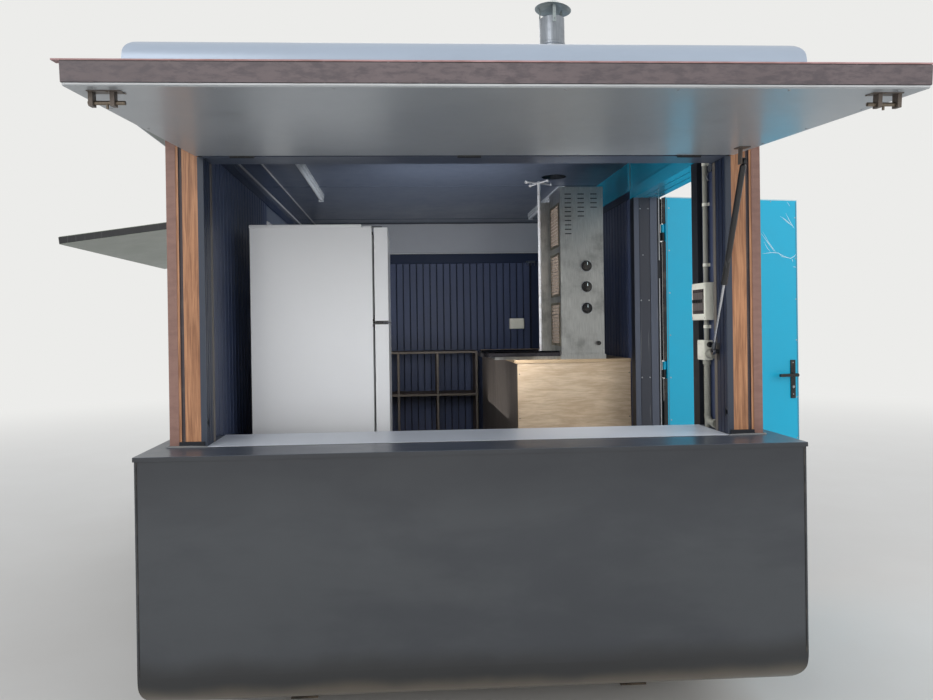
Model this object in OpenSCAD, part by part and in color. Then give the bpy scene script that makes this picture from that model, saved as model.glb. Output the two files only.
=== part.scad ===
// Street kiosk: a small steel cabin on a welded frame with short legs.
// A rounded tub skirt carries a counter, four corner posts and a capped roof.
// The front and left serving openings have top hung flaps, the right side has a door.
// Millimetres, +Z up, viewer at minus Y, origin on the ground under the middle.

/* [Tub and floor] */
// Width of the tub skirt across the front
base_w = 2400; // [2000:10:3200]
// Length of the tub skirt from front to rear
base_l = 4200; // [3600:10:6000]
// Height of the skirt's lower edge above the ground
skirt_z = 185; // [180:5:320]
// Height of the floor frame's top, where the walls stand
frame_top_z = 380; // [370:5:450]
// Height of the floor frame's bars
frame_h = 70; // [50:5:100]
// Thickness of the floor deck
deck_t = 20; // [12:1:30]
// Height of the counter's upper face
counter_z = 1090; // [950:5:1200]
// Radius of the skirt's lower corners in the front view
skirt_corner_r = 95; // [60:5:130]
// Radius with which the skirt turns under the front and rear
skirt_turn_r = 135; // [80:5:135]
// Thickness of the skirt, roof and ledge sheet
sheet_t = 3; // [2:0.5:5]
// Width of the side sheet's strip that shows on the front
seam_w = 8; // [4:1:20]
// Width across a square leg
leg_w = 50; // [40:5:80]
// Distance of the outer legs from the middle line
leg_x = 690; // [500:10:900]
// Distance of the end legs from the middle
leg_y = 1600; // [1200:10:1750]
// Width of a foot plate
foot_w = 110; // [80:5:150]
// Thickness of a foot plate
foot_t = 8; // [5:1:12]

/* [Cabin] */
// How far the counter stands out in front of the cabin, and the ledge behind it
end_ledge = 200; // [120:5:300]
// How far the ledge stands out beside the cabin
side_ledge = 62; // [62:1:120]
// Thickness of the walls
wall_t = 98; // [80:1:120]
// Width of a corner post in the front view
post_w = 134; // [120:1:180]
// Depth of a corner post
post_d = 120; // [110:1:180]
// Depth of the counter behind the front of the cabin
counter_in = 285; // [200:5:400]
// Drop of the counter's edge lip
lip_h = 16; // [10:1:30]
// Height of the top of the walls
wall_top_z = 2280; // [2250:5:2500]
// Height of the front opening's lintel
front_head_z = 2178; // [2050:2:2200]
// Height of the left opening's lintel
left_head_z = 2150; // [2000:2:2200]
// Front edge of the left opening
left_open_y0 = -500; // [-900:10:-300]
// Rear edge of the left opening
left_open_y1 = 1200; // [600:10:1400]

/* [Cladding] */
// Thickness of the cladding on the corner posts
clad_t = 15; // [10:1:25]
// Face width of the corner trim
corner_trim_w = 33; // [25:1:45]
// Face width of the trim beside an opening
edge_trim_w = 20; // [14:1:28]
// How far the trims stand proud of the cladding
trim_proud = 2; // [1:0.5:4]
// Width of the cladding's dark groove
groove_w = 14; // [8:1:20]
// Depth of the cladding's dark groove
groove_d = 7; // [4:1:9]
// Width of the narrow strip outside the groove
strip_w = 9; // [6:1:14]

/* [Roof] */
// Height of the roof cap's top
roof_top_z = 2560; // [2500:5:2800]
// Height of the ceiling's underside
ceiling_z = 2450; // [2400:5:2640]
// How far the roof cap stands out past the tub on each side
roof_over = 21; // [0:1:60]
// Radius of the roof cap's side edges
roof_side_r = 60; // [30:5:75]
// Radius of the roof cap's front and rear edges
roof_end_r = 90; // [30:5:100]
// Thickness of the ceiling and of the band above the walls
panel_t = 10; // [6:1:16]
// Diameter of the flue pipe
flue_d = 154; // [100:2:200]
// Place of the flue across the roof
flue_x = 690; // [300:10:850]
// Place of the flue along the roof
flue_y = -190; // [-900:10:900]
// Height of the flue pipe's upper end
flue_top_z = 3430; // [3000:10:3600]
// Diameter of the rain cap
rain_cap_d = 226; // [180:2:300]
// Lean of the rain cap
rain_cap_tilt = 7; // [0:1:12]

/* [Serving flaps] */
// Reach of the front flap from its hinge to its front edge
front_flap_l = 1060; // [900:10:1070]
// How far the front flap laps over each post
front_flap_lap = 21; // [10:1:60]
// Thickness of the front flap
front_flap_t = 50; // [40:1:70]
// Downward slope of the open front flap in degrees
front_flap_slope = 4.7; // [0:0.1:12]
// Reach of the left flap from its hinge to its outer edge
left_flap_l = 1030; // [800:10:1040]
// How far the left flap laps past each end of its opening
left_flap_lap = 30; // [10:1:60]
// Thickness of the left flap
left_flap_t = 40; // [30:1:60]
// Downward slope of the open left flap in degrees
left_flap_slope = 7.5; // [0:0.1:15]
// Distance of a flap's hinge axis in front of the wall
hinge_out = 12; // [10:1:20]
// Radius of a flap's hinge knuckles
knuckle_r = 8; // [6:0.5:10]
// Radius of a flap's hinge pin
pin_r = 4; // [3:0.5:5]
// Clearance of a pin in its bore
pin_gap = 0.05; // [0.02:0.01:0.1]
// Height of the front flap's edge angle
fascia_h = 46; // [35:1:60]
// Thickness of the front flap's edge angle
fascia_t = 4; // [3:0.5:6]
// Thickness of a flap's skin sheets
skin_t = 1.5; // [1:0.5:3]

/* [Gas struts] */
// Distance of the strut's upper pivot out from the hinge, along the flap
strut_a = 193; // [150:1:260]
// Distance of the strut's upper pivot below the flap
strut_b = 49; // [40:1:60]
// Depth of the strut's lower pivot behind the hinge axis
strut_low_y = 92; // [60:1:110]
// Drop of the strut's lower pivot below the hinge axis
strut_low_z = 765; // [650:5:900]
// Distance of the strut's middle line from the jamb
strut_in = 24; // [18:1:40]
// Radius of the strut's cylinder
strut_cyl_r = 11; // [8:0.5:15]
// Radius of the strut's rod
strut_rod_r = 5; // [3:0.5:7]
// Length of the strut's cylinder
strut_cyl_l = 470; // [350:5:480]
// Thickness of the strut's end eyes
eye_t = 10; // [6:1:14]

/* [Door] */
// Width of the door leaf
door_w = 830; // [650:5:900]
// Thickness of the door leaf
door_t = 32; // [25:1:36]
// Rear edge of the doorway's clear opening
door_far_y = -745; // [-900:5:-700]
// Overlap of the leaf on each jamb
door_lap = 15; // [8:1:25]
// Height of the leaf's lower edge
door_z0 = 425; // [415:5:520]
// Height of the leaf's upper edge
door_z1 = 2227; // [2000:1:2240]
// Opening angle at which the door stands, in degrees
door_open = 99; // [60:1:110]
// Clear space between the closed leaf and its frame
door_gap = 6; // [5:0.5:10]
// Distance of the leaf's hinge edge from the hinge axis
door_edge = 12; // [11:0.5:16]
// Height of the door's lever
lever_z = 1220; // [1000:5:1350]
// Distance of the lever's spindle from the leaf's free edge
lever_backset = 40; // [35:1:70]
// Length of the door's lever
lever_l = 110; // [80:5:130]

/* [Fittings] */
// Length of a ceiling lamp
lamp_l = 1200; // [600:10:1500]
// Height of the plywood cabinet above the floor
cabinet_h = 930; // [800:5:1100]
// Length of the plywood cabinet
cabinet_l = 1840; // [1000:10:2000]
// Width of the plywood cabinet
cabinet_w = 650; // [450:10:800]
// Front end of the plywood cabinet
cabinet_y = -610; // [-700:10:-300]
// Thickness of plywood
ply_t = 18; // [12:1:24]
// Height of the rear shelf unit above the floor
shelf_h = 910; // [700:5:1000]
// Depth of the rear shelf unit
shelf_d = 300; // [200:10:450]
// Height of the fridge
fridge_h = 1585; // [1200:5:1700]
// Width of the fridge
fridge_w = 560; // [450:5:650]
// Depth of the fridge without its doors
fridge_d = 550; // [450:5:650]
// Thickness of the fridge doors
fridge_door_t = 62; // [40:1:80]
// Height of the grill column
grill_h = 980; // [600:10:980]
// Width of the grill column
grill_w = 248; // [180:2:320]
// Distance of the spit from the grill column's side
spit_out = 84; // [75:1:200]
// Distance of the spit behind the plywood cabinet's front end
spit_in = 190; // [150:5:260]

/* [Hidden] */
$fn = 64;
e = 1;

// Tub
half_w = base_w / 2;
half_l = base_l / 2;
tub_top_z = counter_z - sheet_t;
floor_z = frame_top_z + deck_t;
// Cabin, outer faces and inner faces
cab_x = half_w - side_ledge;
cab_y = half_l - end_ledge;
in_x = cab_x - wall_t;
in_y = cab_y - wall_t;
open_x = cab_x - post_w;
post_y = cab_y - post_d;
core_x = cab_x - clad_t;
core_y = cab_y - clad_t;
// Doorway and door
leaf_x0 = half_w - 2 - door_t;
frame_x1 = leaf_x0 - door_gap;
frame_x0 = in_x - 28;
door_clear = door_w - 2 * door_lap;
door_near_y = door_far_y - door_clear;
door_axis_x = leaf_x0 + door_t / 2;
door_axis_y = door_far_y + door_lap + door_edge;
jamb_w = 60;
jamb_far_y1 = door_far_y + jamb_w;
jamb_near_y0 = door_near_y - jamb_w;
door_slot_y0 = jamb_near_y0 - 0.3;
door_slot_y1 = jamb_far_y1 + 0.3;
door_head_z = door_z1 - 4;
// Roof
roof_x = half_w + roof_over;
roof_y = half_l;
// Hinges of the flaps
front_axis = [0, -cab_y - hinge_out, front_head_z];
left_axis = [-cab_x - hinge_out, (left_open_y0 + left_open_y1) / 2, left_head_z];
front_flap_w = 2 * (open_x + front_flap_lap);
left_flap_w = left_open_y1 - left_open_y0 + 2 * left_flap_lap;
flap_start = 12;
leaf_plate_t = 3;
// Struts, with the slope of the flap turned into each pivot's place
strut_x = open_x - strut_in;
bracket_t = 4;
// Fittings
cabinet_x0 = in_x - 12 - cabinet_w;
cabinet_top_z = floor_z + cabinet_h;
shelf_top_z = floor_z + shelf_h;
fridge_x0 = -in_x + 90;
fridge_y0 = -1350;
fridge_z0 = floor_z + 20;
fridge_split_z = floor_z + 1148;
grill_x0 = cabinet_x0 + 256;

// A block between two corners
module block(x, y, z) {
  translate([x[0], y[0], z[0]]) cube([x[1] - x[0], y[1] - y[0], z[1] - z[0]]);
}

// Children once as drawn and once mirrored to the other side
module both_x() {
  children();
  mirror([1, 0, 0]) children();
}

// Children once as drawn and once mirrored to the other end
module both_y() {
  children();
  mirror([0, 1, 0]) children();
}

// A rod along X
module rod_x(r, x0, x1) {
  translate([x0, 0, 0]) rotate([0, 90, 0]) cylinder(r = r, h = x1 - x0);
}

// Outline with two rounded lower corners, centred on its width and standing on zero
module tub_outline(w, h, r) {
  difference() {
    translate([-w / 2, 0]) square([w, h]);
    for (s = [-1, 1]) {
      difference() {
        translate([s > 0 ? w / 2 - r : -w / 2 - 1, -1]) square([r + 1, r + 1]);
        translate([s * (w / 2 - r), r]) circle(r = r);
      }
    }
  }
}

// Solid with rounded lower edges, as two crossing extrusions
module tub_solid(w, l, h, rx, ry) {
  intersection() {
    translate([0, l / 2, 0]) rotate([90, 0, 0]) linear_extrude(l) tub_outline(w, h, rx);
    translate([-w / 2, 0, 0]) rotate([90, 0, 90]) linear_extrude(w) tub_outline(l, h, ry);
  }
}

// The whole skirt as one bent sheet, open above and below
module tub_shell() {
  h = tub_top_z - skirt_z;
  difference() {
    translate([0, 0, skirt_z]) tub_solid(base_w, base_l, h, skirt_corner_r, skirt_turn_r);
    translate([0, 0, skirt_z + sheet_t])
      tub_solid(base_w - 2 * sheet_t, base_l - 2 * sheet_t, h, skirt_corner_r - sheet_t, skirt_turn_r - sheet_t);
    belly_x = half_w - skirt_corner_r - 30;
    belly_y = half_l - skirt_turn_r - 30;
    block([-belly_x, belly_x], [-belly_y, belly_y], [skirt_z - 1, skirt_z + 20]);
  }
}

// The doorway's slot through the skirt and the ledge
module doorway_slot() {
  block([in_x, half_w + 20], [door_slot_y0, door_slot_y1], [floor_z, counter_z + 20]);
}

module end_skirt() {
  intersection() {
    tub_shell();
    block([-half_w + seam_w, half_w - seam_w], [-half_l - 1, -cab_y], [skirt_z - 1, counter_z]);
  }
}

module side_skirt() {
  gap = 0.3;
  intersection() {
    tub_shell();
    union() {
      block([-half_w - 1, -half_w + seam_w - gap], [-half_l - 1, half_l + 1], [skirt_z - 1, counter_z]);
      block([-half_w - 1, -half_w + skirt_corner_r + 40], [-cab_y + gap, cab_y - gap], [skirt_z - 1, counter_z]);
    }
  }
}

module front_skirt() {
  color([0.21, 0.23, 0.25]) end_skirt();
}

module rear_skirt() {
  color([0.21, 0.23, 0.25]) mirror([0, 1, 0]) end_skirt();
}

module left_skirt() {
  color([0.21, 0.23, 0.25]) side_skirt();
}

module right_skirt() {
  color([0.21, 0.23, 0.25]) difference() {
    mirror([1, 0, 0]) side_skirt();
    doorway_slot();
  }
}

// How far the skirt's inner face at height z lies inside the skirt's outer size, for a lower edge of radius r
function skirt_inset(z, r) = sheet_t + (r - sheet_t) - sqrt(pow(r - sheet_t, 2) - pow(max(0, skirt_z + r - z), 2));

// Ring of bars with joists, and arms that reach out to the skirt
module base_frame() {
  bar = 60;
  joist = 40;
  arm_h = 35;
  z = [frame_top_z - frame_h, frame_top_z];
  arm_z = [frame_top_z - arm_h, frame_top_z];
  arm_x = half_w - skirt_inset(arm_z[0], skirt_corner_r);
  arm_y = half_l - skirt_inset(arm_z[0], skirt_turn_r);
  color([0.16, 0.16, 0.17]) {
    both_x() {
      block([cab_x - bar, cab_x], [-cab_y, cab_y], z);
      block([leg_x - bar / 2, leg_x + bar / 2], [-cab_y, cab_y], z);
    }
    both_y() block([-cab_x, cab_x], [cab_y - bar, cab_y], z);
    for (k = [-4 : 4]) block([-cab_x, cab_x], [k * leg_y / 4 - joist / 2, k * leg_y / 4 + joist / 2], z);
    for (y = [-leg_y, 0, leg_y]) block([-arm_x, arm_x], [y - joist / 2, y + joist / 2], arm_z);
    for (x = [-leg_x, leg_x]) block([x - joist / 2, x + joist / 2], [-arm_y, arm_y], arm_z);
  }
}

module leg(x, y) {
  translate([x, y, 0]) {
    translate([-foot_w / 2, -foot_w / 2, 0]) cube([foot_w, foot_w, foot_t]);
    translate([-leg_w / 2, -leg_w / 2, 0]) cube([leg_w, leg_w, frame_top_z - frame_h]);
  }
}

module legs() {
  color([0.14, 0.14, 0.15]) {
    for (x = [-leg_x, leg_x], y = [-leg_y, 0, leg_y]) leg(x, y);
    leg(0, 0);
  }
}

module floor_deck() {
  color([0.35, 0.3, 0.26]) difference() {
    block([-in_x, in_x], [-in_y, in_y], [frame_top_z, floor_z]);
    both_x() block([open_x - 0.3, cab_x], [post_y - 0.3, cab_y], [frame_top_z - 1, floor_z + 1]);
  }
}

// Folded sheet counter: a plate with a lip turned down round its outer edge and its inner edge
module counter_top() {
  over = 4;
  x1 = half_w + over;
  y0 = -half_l - over;
  y_in = -cab_y + counter_in;
  color([0.26, 0.28, 0.3]) difference() {
    union() {
      block([-x1, x1], [y0, -post_y], [counter_z - lip_h, counter_z]);
      block([-in_x, in_x], [-post_y - 1, y_in], [counter_z - lip_h, counter_z]);
    }
    block([-half_w, half_w], [-half_l, -post_y + 1], [counter_z - lip_h - 1, counter_z - sheet_t]);
    block([-in_x - 1, in_x + 1], [-post_y - 2, y_in - sheet_t], [counter_z - lip_h - 1, counter_z - sheet_t]);
  }
}

// One ledge strip beside the cabin, with its lip over the skirt
module side_ledge_strip(y0, y1) {
  over = 4;
  difference() {
    block([cab_x, half_w + over], [y0, y1], [counter_z - lip_h, counter_z]);
    block([cab_x - 1, half_w], [y0 - 1, y1 + 1], [counter_z - lip_h - 1, counter_z - sheet_t]);
  }
}

module side_ledges() {
  over = 4;
  color([0.26, 0.28, 0.3]) {
    mirror([1, 0, 0]) side_ledge_strip(-post_y + 0.3, half_l);
    side_ledge_strip(-post_y + 0.3, door_slot_y0);
    side_ledge_strip(door_slot_y1, half_l);
    difference() {
      block([-cab_x + 0.3, cab_x - 0.3], [cab_y, half_l + over], [counter_z - lip_h, counter_z]);
      block([-cab_x, cab_x], [cab_y - 1, half_l], [counter_z - lip_h - 1, counter_z - sheet_t]);
    }
  }
}

// Hollow steel box of a corner post, seen from inside as the dark jamb
module post_core(z0) {
  wall = 5;
  difference() {
    block([open_x, core_x], [-core_y, -post_y], [z0, wall_top_z]);
    block([open_x + wall, core_x - wall], [-core_y + wall, -post_y - wall], [z0 - 1, wall_top_z + 1]);
  }
}

// Hole in each front jamb that takes the flap's side bolt
module bolt_holes() {
  for (s = [-1, 1])
    translate([s * (open_x + 10), bolt_closed_y, bolt_closed_z]) rotate([0, 90, 0])
      cylinder(r = bolt_r + 5, h = 60, center = true);
}

module corner_posts() {
  foot = 60;
  color([0.1, 0.1, 0.11]) difference() {
    both_x() {
      post_core(counter_z);
      mirror([0, 1, 0]) post_core(frame_top_z);
      block([in_x + 1, in_x + 1 + foot], [-cab_y, -cab_y + foot], [frame_top_z, tub_top_z]);
    }
    bolt_holes();
  }
}

// Cladding of one post: a face board with a strip and a dark groove, and a side board
module post_cladding_one(z0) {
  x0 = open_x + edge_trim_w;
  x1 = cab_x - corner_trim_w;
  groove_x = x1 - strip_w - groove_w;
  difference() {
    block([x0, x1], [-cab_y, -core_y], [z0, wall_top_z]);
    block([groove_x, groove_x + groove_w], [-cab_y - 1, -cab_y + groove_d], [z0 - 1, wall_top_z + 1]);
  }
  block([core_x, cab_x], [-cab_y + corner_trim_w, -post_y], [z0, wall_top_z]);
}

module post_cladding() {
  color([0.69, 0.48, 0.35]) both_x() {
    post_cladding_one(counter_z);
    mirror([0, 1, 0]) post_cladding_one(counter_z);
  }
}

// Angle trim over a corner of the cabin
module corner_trim_one() {
  x1 = cab_x + trim_proud;
  difference() {
    block([cab_x - corner_trim_w, x1], [-cab_y - trim_proud, -cab_y + corner_trim_w], [counter_z, wall_top_z]);
    block([cab_x - corner_trim_w - 1, core_x], [-core_y, 0], [counter_z - 1, wall_top_z + 1]);
  }
}

module corner_trims() {
  color([0.49, 0.33, 0.31]) both_x() both_y() corner_trim_one();
}

// Metal edge trim beside the front opening
module opening_trims() {
  color([0.45, 0.5, 0.56]) difference() {
    both_x()
      block([open_x - trim_proud, open_x + edge_trim_w], [-cab_y - trim_proud, -core_y], [counter_z, front_head_z]);
    bolt_holes();
  }
}

module wall_side(y0, y1, z0, z1) {
  block([in_x, cab_x], [y0, y1], [z0, z1]);
}

module left_walls() {
  color([0.23, 0.25, 0.27]) mirror([1, 0, 0]) {
    wall_side(-post_y, left_open_y0, frame_top_z, wall_top_z);
    wall_side(left_open_y1, post_y, frame_top_z, wall_top_z);
  }
}

module right_walls() {
  color([0.23, 0.25, 0.27]) {
    wall_side(-post_y, jamb_near_y0, frame_top_z, wall_top_z);
    wall_side(jamb_far_y1, post_y, frame_top_z, wall_top_z);
  }
}

module rear_wall() {
  color([0.2, 0.22, 0.25]) block([-open_x, open_x], [in_y, cab_y], [frame_top_z, wall_top_z]);
}

module sill_walls() {
  color([0.23, 0.25, 0.27]) {
    block([-in_x, in_x], [-cab_y, -in_y], [frame_top_z, tub_top_z]);
    mirror([1, 0, 0]) wall_side(left_open_y0, left_open_y1, frame_top_z, counter_z);
  }
}

module lintels() {
  color([0.15, 0.16, 0.18]) {
    block([-open_x, open_x], [-cab_y, -post_y], [front_head_z, wall_top_z]);
    mirror([1, 0, 0]) wall_side(left_open_y0, left_open_y1, left_head_z, wall_top_z);
  }
}

module door_head() {
  color([0.24, 0.7, 0.84]) block([frame_x0, frame_x1], [jamb_near_y0, jamb_far_y1], [door_head_z, wall_top_z]);
}

module door_jambs() {
  color([0.12, 0.12, 0.13])
    for (y0 = [jamb_near_y0, door_far_y]) block([frame_x0, frame_x1], [y0, y0 + jamb_w], [floor_z, door_head_z]);
}

// Ring beam on the walls, risers and cross beams under the cap
module roof_frame() {
  z0 = wall_top_z + sheet_t;
  ring = 50;
  x1 = cab_x - 20;
  y1 = cab_y - 20;
  beam_z = [ceiling_z + panel_t, ceiling_z + panel_t + 50];
  color([0.16, 0.16, 0.17]) difference() {
    union() {
      both_x() block([x1 - ring, x1], [-y1, y1], [z0, z0 + ring]);
      both_y() block([-x1, x1], [y1 - ring, y1], [z0, z0 + ring]);
      for (y = [-y1 + ring / 2, -y1 / 2, 0, y1 / 2, y1 - ring / 2]) {
        block([-x1, x1], [y - ring / 2, y + ring / 2], beam_z);
        both_x() block([x1 - ring, x1], [y - ring / 2, y + ring / 2], [z0, beam_z[1]]);
      }
    }
    translate([flue_x, flue_y, z0]) cylinder(r = flue_d / 2 + 5, h = 300);
  }
}

// Flat sheet ring that closes the cap's overhang from below
module soffit() {
  color([0.55, 0.6, 0.66]) difference() {
    block([-roof_x + sheet_t, roof_x - sheet_t], [-roof_y + sheet_t, roof_y - sheet_t], [wall_top_z, wall_top_z + sheet_t]);
    block([-in_x - panel_t, in_x + panel_t], [-in_y - panel_t, in_y + panel_t], [wall_top_z - 1, wall_top_z + sheet_t + 1]);
  }
}

// Rounded cap, the tub's form turned over
module roof_shell() {
  h = roof_top_z - wall_top_z;
  color([0.55, 0.6, 0.66]) difference() {
    translate([0, 0, roof_top_z]) mirror([0, 0, 1])
      tub_solid(2 * roof_x, 2 * roof_y, h, roof_side_r, roof_end_r);
    translate([0, 0, roof_top_z - sheet_t]) mirror([0, 0, 1])
      tub_solid(2 * (roof_x - sheet_t), 2 * (roof_y - sheet_t), h, roof_side_r - sheet_t, roof_end_r - sheet_t);
    translate([flue_x, flue_y, roof_top_z - 20]) cylinder(r = flue_d / 2 + 0.3, h = 40);
  }
}

module ceiling() {
  color([0.28, 0.3, 0.32]) difference() {
    block([-in_x - panel_t, in_x + panel_t], [-in_y - panel_t, in_y + panel_t], [ceiling_z, ceiling_z + panel_t]);
    translate([flue_x, flue_y, ceiling_z - 1]) cylinder(r = flue_d / 2 + 0.3, h = panel_t + 2);
  }
}

// Band of sheet between the top of the walls and the ceiling
module band_side() {
  block([in_x, in_x + panel_t], [-in_y, in_y], [wall_top_z, ceiling_z]);
}

module upper_bands() {
  color([0.44, 0.44, 0.43]) {
    mirror([1, 0, 0]) band_side();
    both_y() block([-in_x + 0.5, in_x - 0.5], [in_y, in_y + panel_t], [wall_top_z, ceiling_z]);
  }
}

module teal_band() {
  color([0.24, 0.7, 0.84]) band_side();
}

// Tube lamp: a slim housing with a round tube under it
module lamp(x, y0) {
  body_w = 40;
  tube_r = 13;
  block([x - body_w / 2, x + body_w / 2], [y0, y0 + lamp_l], [ceiling_z - 22, ceiling_z]);
  translate([x, y0 + 20, ceiling_z - 22 - tube_r + 3]) rotate([-90, 0, 0]) cylinder(r = tube_r, h = lamp_l - 40);
  for (y = [y0, y0 + lamp_l - 24]) block([x - 16, x + 16], [y, y + 24], [ceiling_z - 50, ceiling_z - 21]);
}

module ceiling_lamps() {
  color([0.9, 0.92, 0.95]) {
    lamp(-820, -820);
    lamp(800, 90);
  }
}

module flue_pipe() {
  wall = 2;
  color([0.6, 0.62, 0.64]) translate([flue_x, flue_y, 0]) {
    difference() {
      translate([0, 0, ceiling_z]) cylinder(r = flue_d / 2, h = flue_top_z - ceiling_z);
      translate([0, 0, ceiling_z - 1]) cylinder(r = flue_d / 2 - wall, h = flue_top_z - ceiling_z + 2);
    }
    difference() {
      translate([0, 0, roof_top_z]) cylinder(r1 = flue_d / 2 + 70, r2 = flue_d / 2 + 1, h = 60);
      translate([0, 0, roof_top_z - 1]) cylinder(r = flue_d / 2 - wall, h = 70);
      translate([0, 0, roof_top_z - 2]) cylinder(r1 = flue_d / 2 + 70, r2 = flue_d / 2 - wall, h = 58);
    }
  }
}

// Conical rain cap on three flat straps that grip the pipe
module flue_cap() {
  r = rain_cap_d / 2;
  cone_h = 62;
  cone_z = 62;
  tip_r = 8;
  grip = 40;
  strap_r = flue_d / 2 + 0.3;
  strap_rise = cone_z + cone_h * (r - strap_r - 2) / (r - tip_r) - 1.5;
  color([0.5, 0.52, 0.54]) translate([flue_x, flue_y, flue_top_z]) {
    rotate([0, rain_cap_tilt, 0]) translate([0, 0, cone_z]) difference() {
      cylinder(r1 = r, r2 = tip_r, h = cone_h);
      translate([0, 0, -2]) cylinder(r1 = r, r2 = tip_r - 4, h = cone_h - 2);
    }
    for (a = [30, 150, 270]) rotate([0, 0, a]) translate([strap_r, -10, -grip])
      cube([2, 20, grip + strap_rise - strap_r * cos(a) * sin(rain_cap_tilt)]);
  }
}

module electric_boxes() {
  color([0.8, 0.8, 0.77]) {
    block([in_x - 55, in_x], [-1745, -1605], [1540, 1695]);
    block([in_x - 42, in_x], [-1700, -1625], [1372, 1455]);
  }
}

// Rigid pipe from the ceiling to the upper box, and on to the lower box and the counter
module conduit() {
  r = 10;
  x = in_x - 22;
  y = -1672;
  color([0.5, 0.5, 0.5]) {
    translate([x, y, 1695]) cylinder(r = r, h = 2215 - 1695);
    translate([x, y, 1455]) cylinder(r = r, h = 1540 - 1455);
    translate([x, y, counter_z]) cylinder(r = r + 2, h = 1372 - counter_z);
    translate([x, y + 60, 2215]) rotate([90, 0, -90]) rotate_extrude(angle = 90) translate([60, 0]) circle(r = r);
  }
}

// A flap lies in its own frame: hinge axis along X, reach along minus Y, skin above zero
module flap_place(axis, slope, turn) {
  translate(axis) rotate([0, 0, turn]) rotate([slope, 0, 0]) children();
}

// Welded bars inside a flap, with the hinge knuckles on its rear bar
module flap_bars(w, l, t) {
  bar = 30;
  z = [skin_t, t - skin_t];
  y0 = -l;
  y1 = -flap_start;
  block([-w / 2, w / 2], [y1 - bar, y1], z);
  block([-w / 2, w / 2], [y0, y0 + bar], z);
  for (k = [0 : 4]) {
    x = -w / 2 + bar / 2 + k * (w - bar) / 4;
    block([x - bar / 2, x + bar / 2], [y0, y1], z);
  }
}

// Middle places of the hinges along a flap of width w
function hinge_places(w) = [-w / 2 + 170, 0, w / 2 - 170];
hinge_l = 90;

// Moving knuckle: the middle third of each hinge, with a tongue to the flap's rear bar
module flap_knuckles(w) {
  for (x = hinge_places(w)) difference() {
    union() {
      rod_x(knuckle_r, x - hinge_l / 6 + 0.5, x + hinge_l / 6 - 0.5);
      block([x - hinge_l / 6 + 0.5, x + hinge_l / 6 - 0.5], [-flap_start - 1, 0], [skin_t, skin_t + 5]);
    }
    rod_x(pin_r + pin_gap, x - hinge_l, x + hinge_l);
  }
}

// Fixed knuckles with their plate on the wall above the axis, and the pin through all three
module fixed_hinge(x, out) {
  plate_h = 60;
  for (s = [-1, 1]) {
    x0 = x + s * hinge_l / 3 - hinge_l / 6;
    rod_x(knuckle_r, x0, x0 + hinge_l / 3);
    block([x0, x0 + hinge_l / 3], [0, out], [0, leaf_plate_t]);
  }
  block([x - hinge_l / 2, x + hinge_l / 2], [out - leaf_plate_t, out], [0, plate_h]);
  rod_x(pin_r, x - hinge_l / 2, x + hinge_l / 2);
}

// Door hinge axis pins stand on the far jamb, one short barrel above the other
door_hinge_z = [door_z0 + 180, 1270, 2030];

module door_place(angle) {
  translate([door_axis_x, door_axis_y, 0]) rotate([0, 0, angle]) children();
}

module hinge_pins() {
  color([0.2, 0.2, 0.2]) {
    translate(front_axis) for (x = hinge_places(front_flap_w)) fixed_hinge(x, hinge_out);
    translate(left_axis) rotate([0, 0, -90]) for (x = hinge_places(left_flap_w)) fixed_hinge(x, hinge_out);
    for (z = door_hinge_z) {
      translate([door_axis_x, door_axis_y, z - 45]) {
        cylinder(r = 6, h = 90);
        cylinder(r = 10, h = 44);
      }
      block([frame_x1, door_axis_x], [door_axis_y - 3, door_axis_y + 3], [z - 45, z - 1]);
      block([frame_x1, frame_x1 + 3], [door_axis_y - 3, jamb_far_y1], [z - 45, z - 1]);
    }
  }
}

module front_flap_frame() {
  color([0.3, 0.3, 0.31]) flap_place(front_axis, front_flap_slope, 0) {
    flap_bars(front_flap_w - 2, front_flap_l - fascia_t, front_flap_t);
    flap_knuckles(front_flap_w);
  }
}

module flap_sheets(w, l, t) {
  block([-w / 2, w / 2], [-l, -flap_start], [0, skin_t]);
  block([-w / 2, w / 2], [-l, -flap_start], [t - skin_t, t]);
}

module front_flap_sheets() {
  color([0.43, 0.45, 0.46]) flap_place(front_axis, front_flap_slope, 0)
    flap_sheets(front_flap_w, front_flap_l - fascia_t, front_flap_t);
}

// Steel angle along the front edge: one leg hangs in front, the other lies on top
module front_flap_fascia() {
  w = front_flap_w + 6;
  color([0.42, 0.33, 0.31]) flap_place(front_axis, front_flap_slope, 0) {
    block([-w / 2, w / 2], [-front_flap_l, -front_flap_l + fascia_t], [front_flap_t + fascia_t - fascia_h, front_flap_t + fascia_t]);
    block([-w / 2, w / 2], [-front_flap_l, -front_flap_l + fascia_h], [front_flap_t, front_flap_t + fascia_t]);
  }
}

// Side bolts under the front corners of the flap
bolt_r = 5;
bolt_y = front_flap_l - 60;
bolt_drop = 26;
bolt_travel = 22;
bolt_tip_x = open_x - 12;
bolt_l = 86;
bolt_closed_y = front_axis[1] + bolt_drop;
bolt_closed_z = front_axis[2] - bolt_y;

module bolt_place() {
  flap_place(front_axis, front_flap_slope, 0) translate([0, -bolt_y, -bolt_drop]) children();
}

// Plate with two guides for a side bolt
module bolt_guide() {
  x1 = bolt_tip_x - 2;
  block([x1 - 78, x1], [-16, 16], [bolt_drop - 2, bolt_drop]);
  for (x = [x1 - 12, x1 - 62]) difference() {
    block([x, x + 10], [-11, 11], [-9, bolt_drop - 1]);
    rod_x(bolt_r + 0.5, x - 1, x + 11);
  }
}

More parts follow.
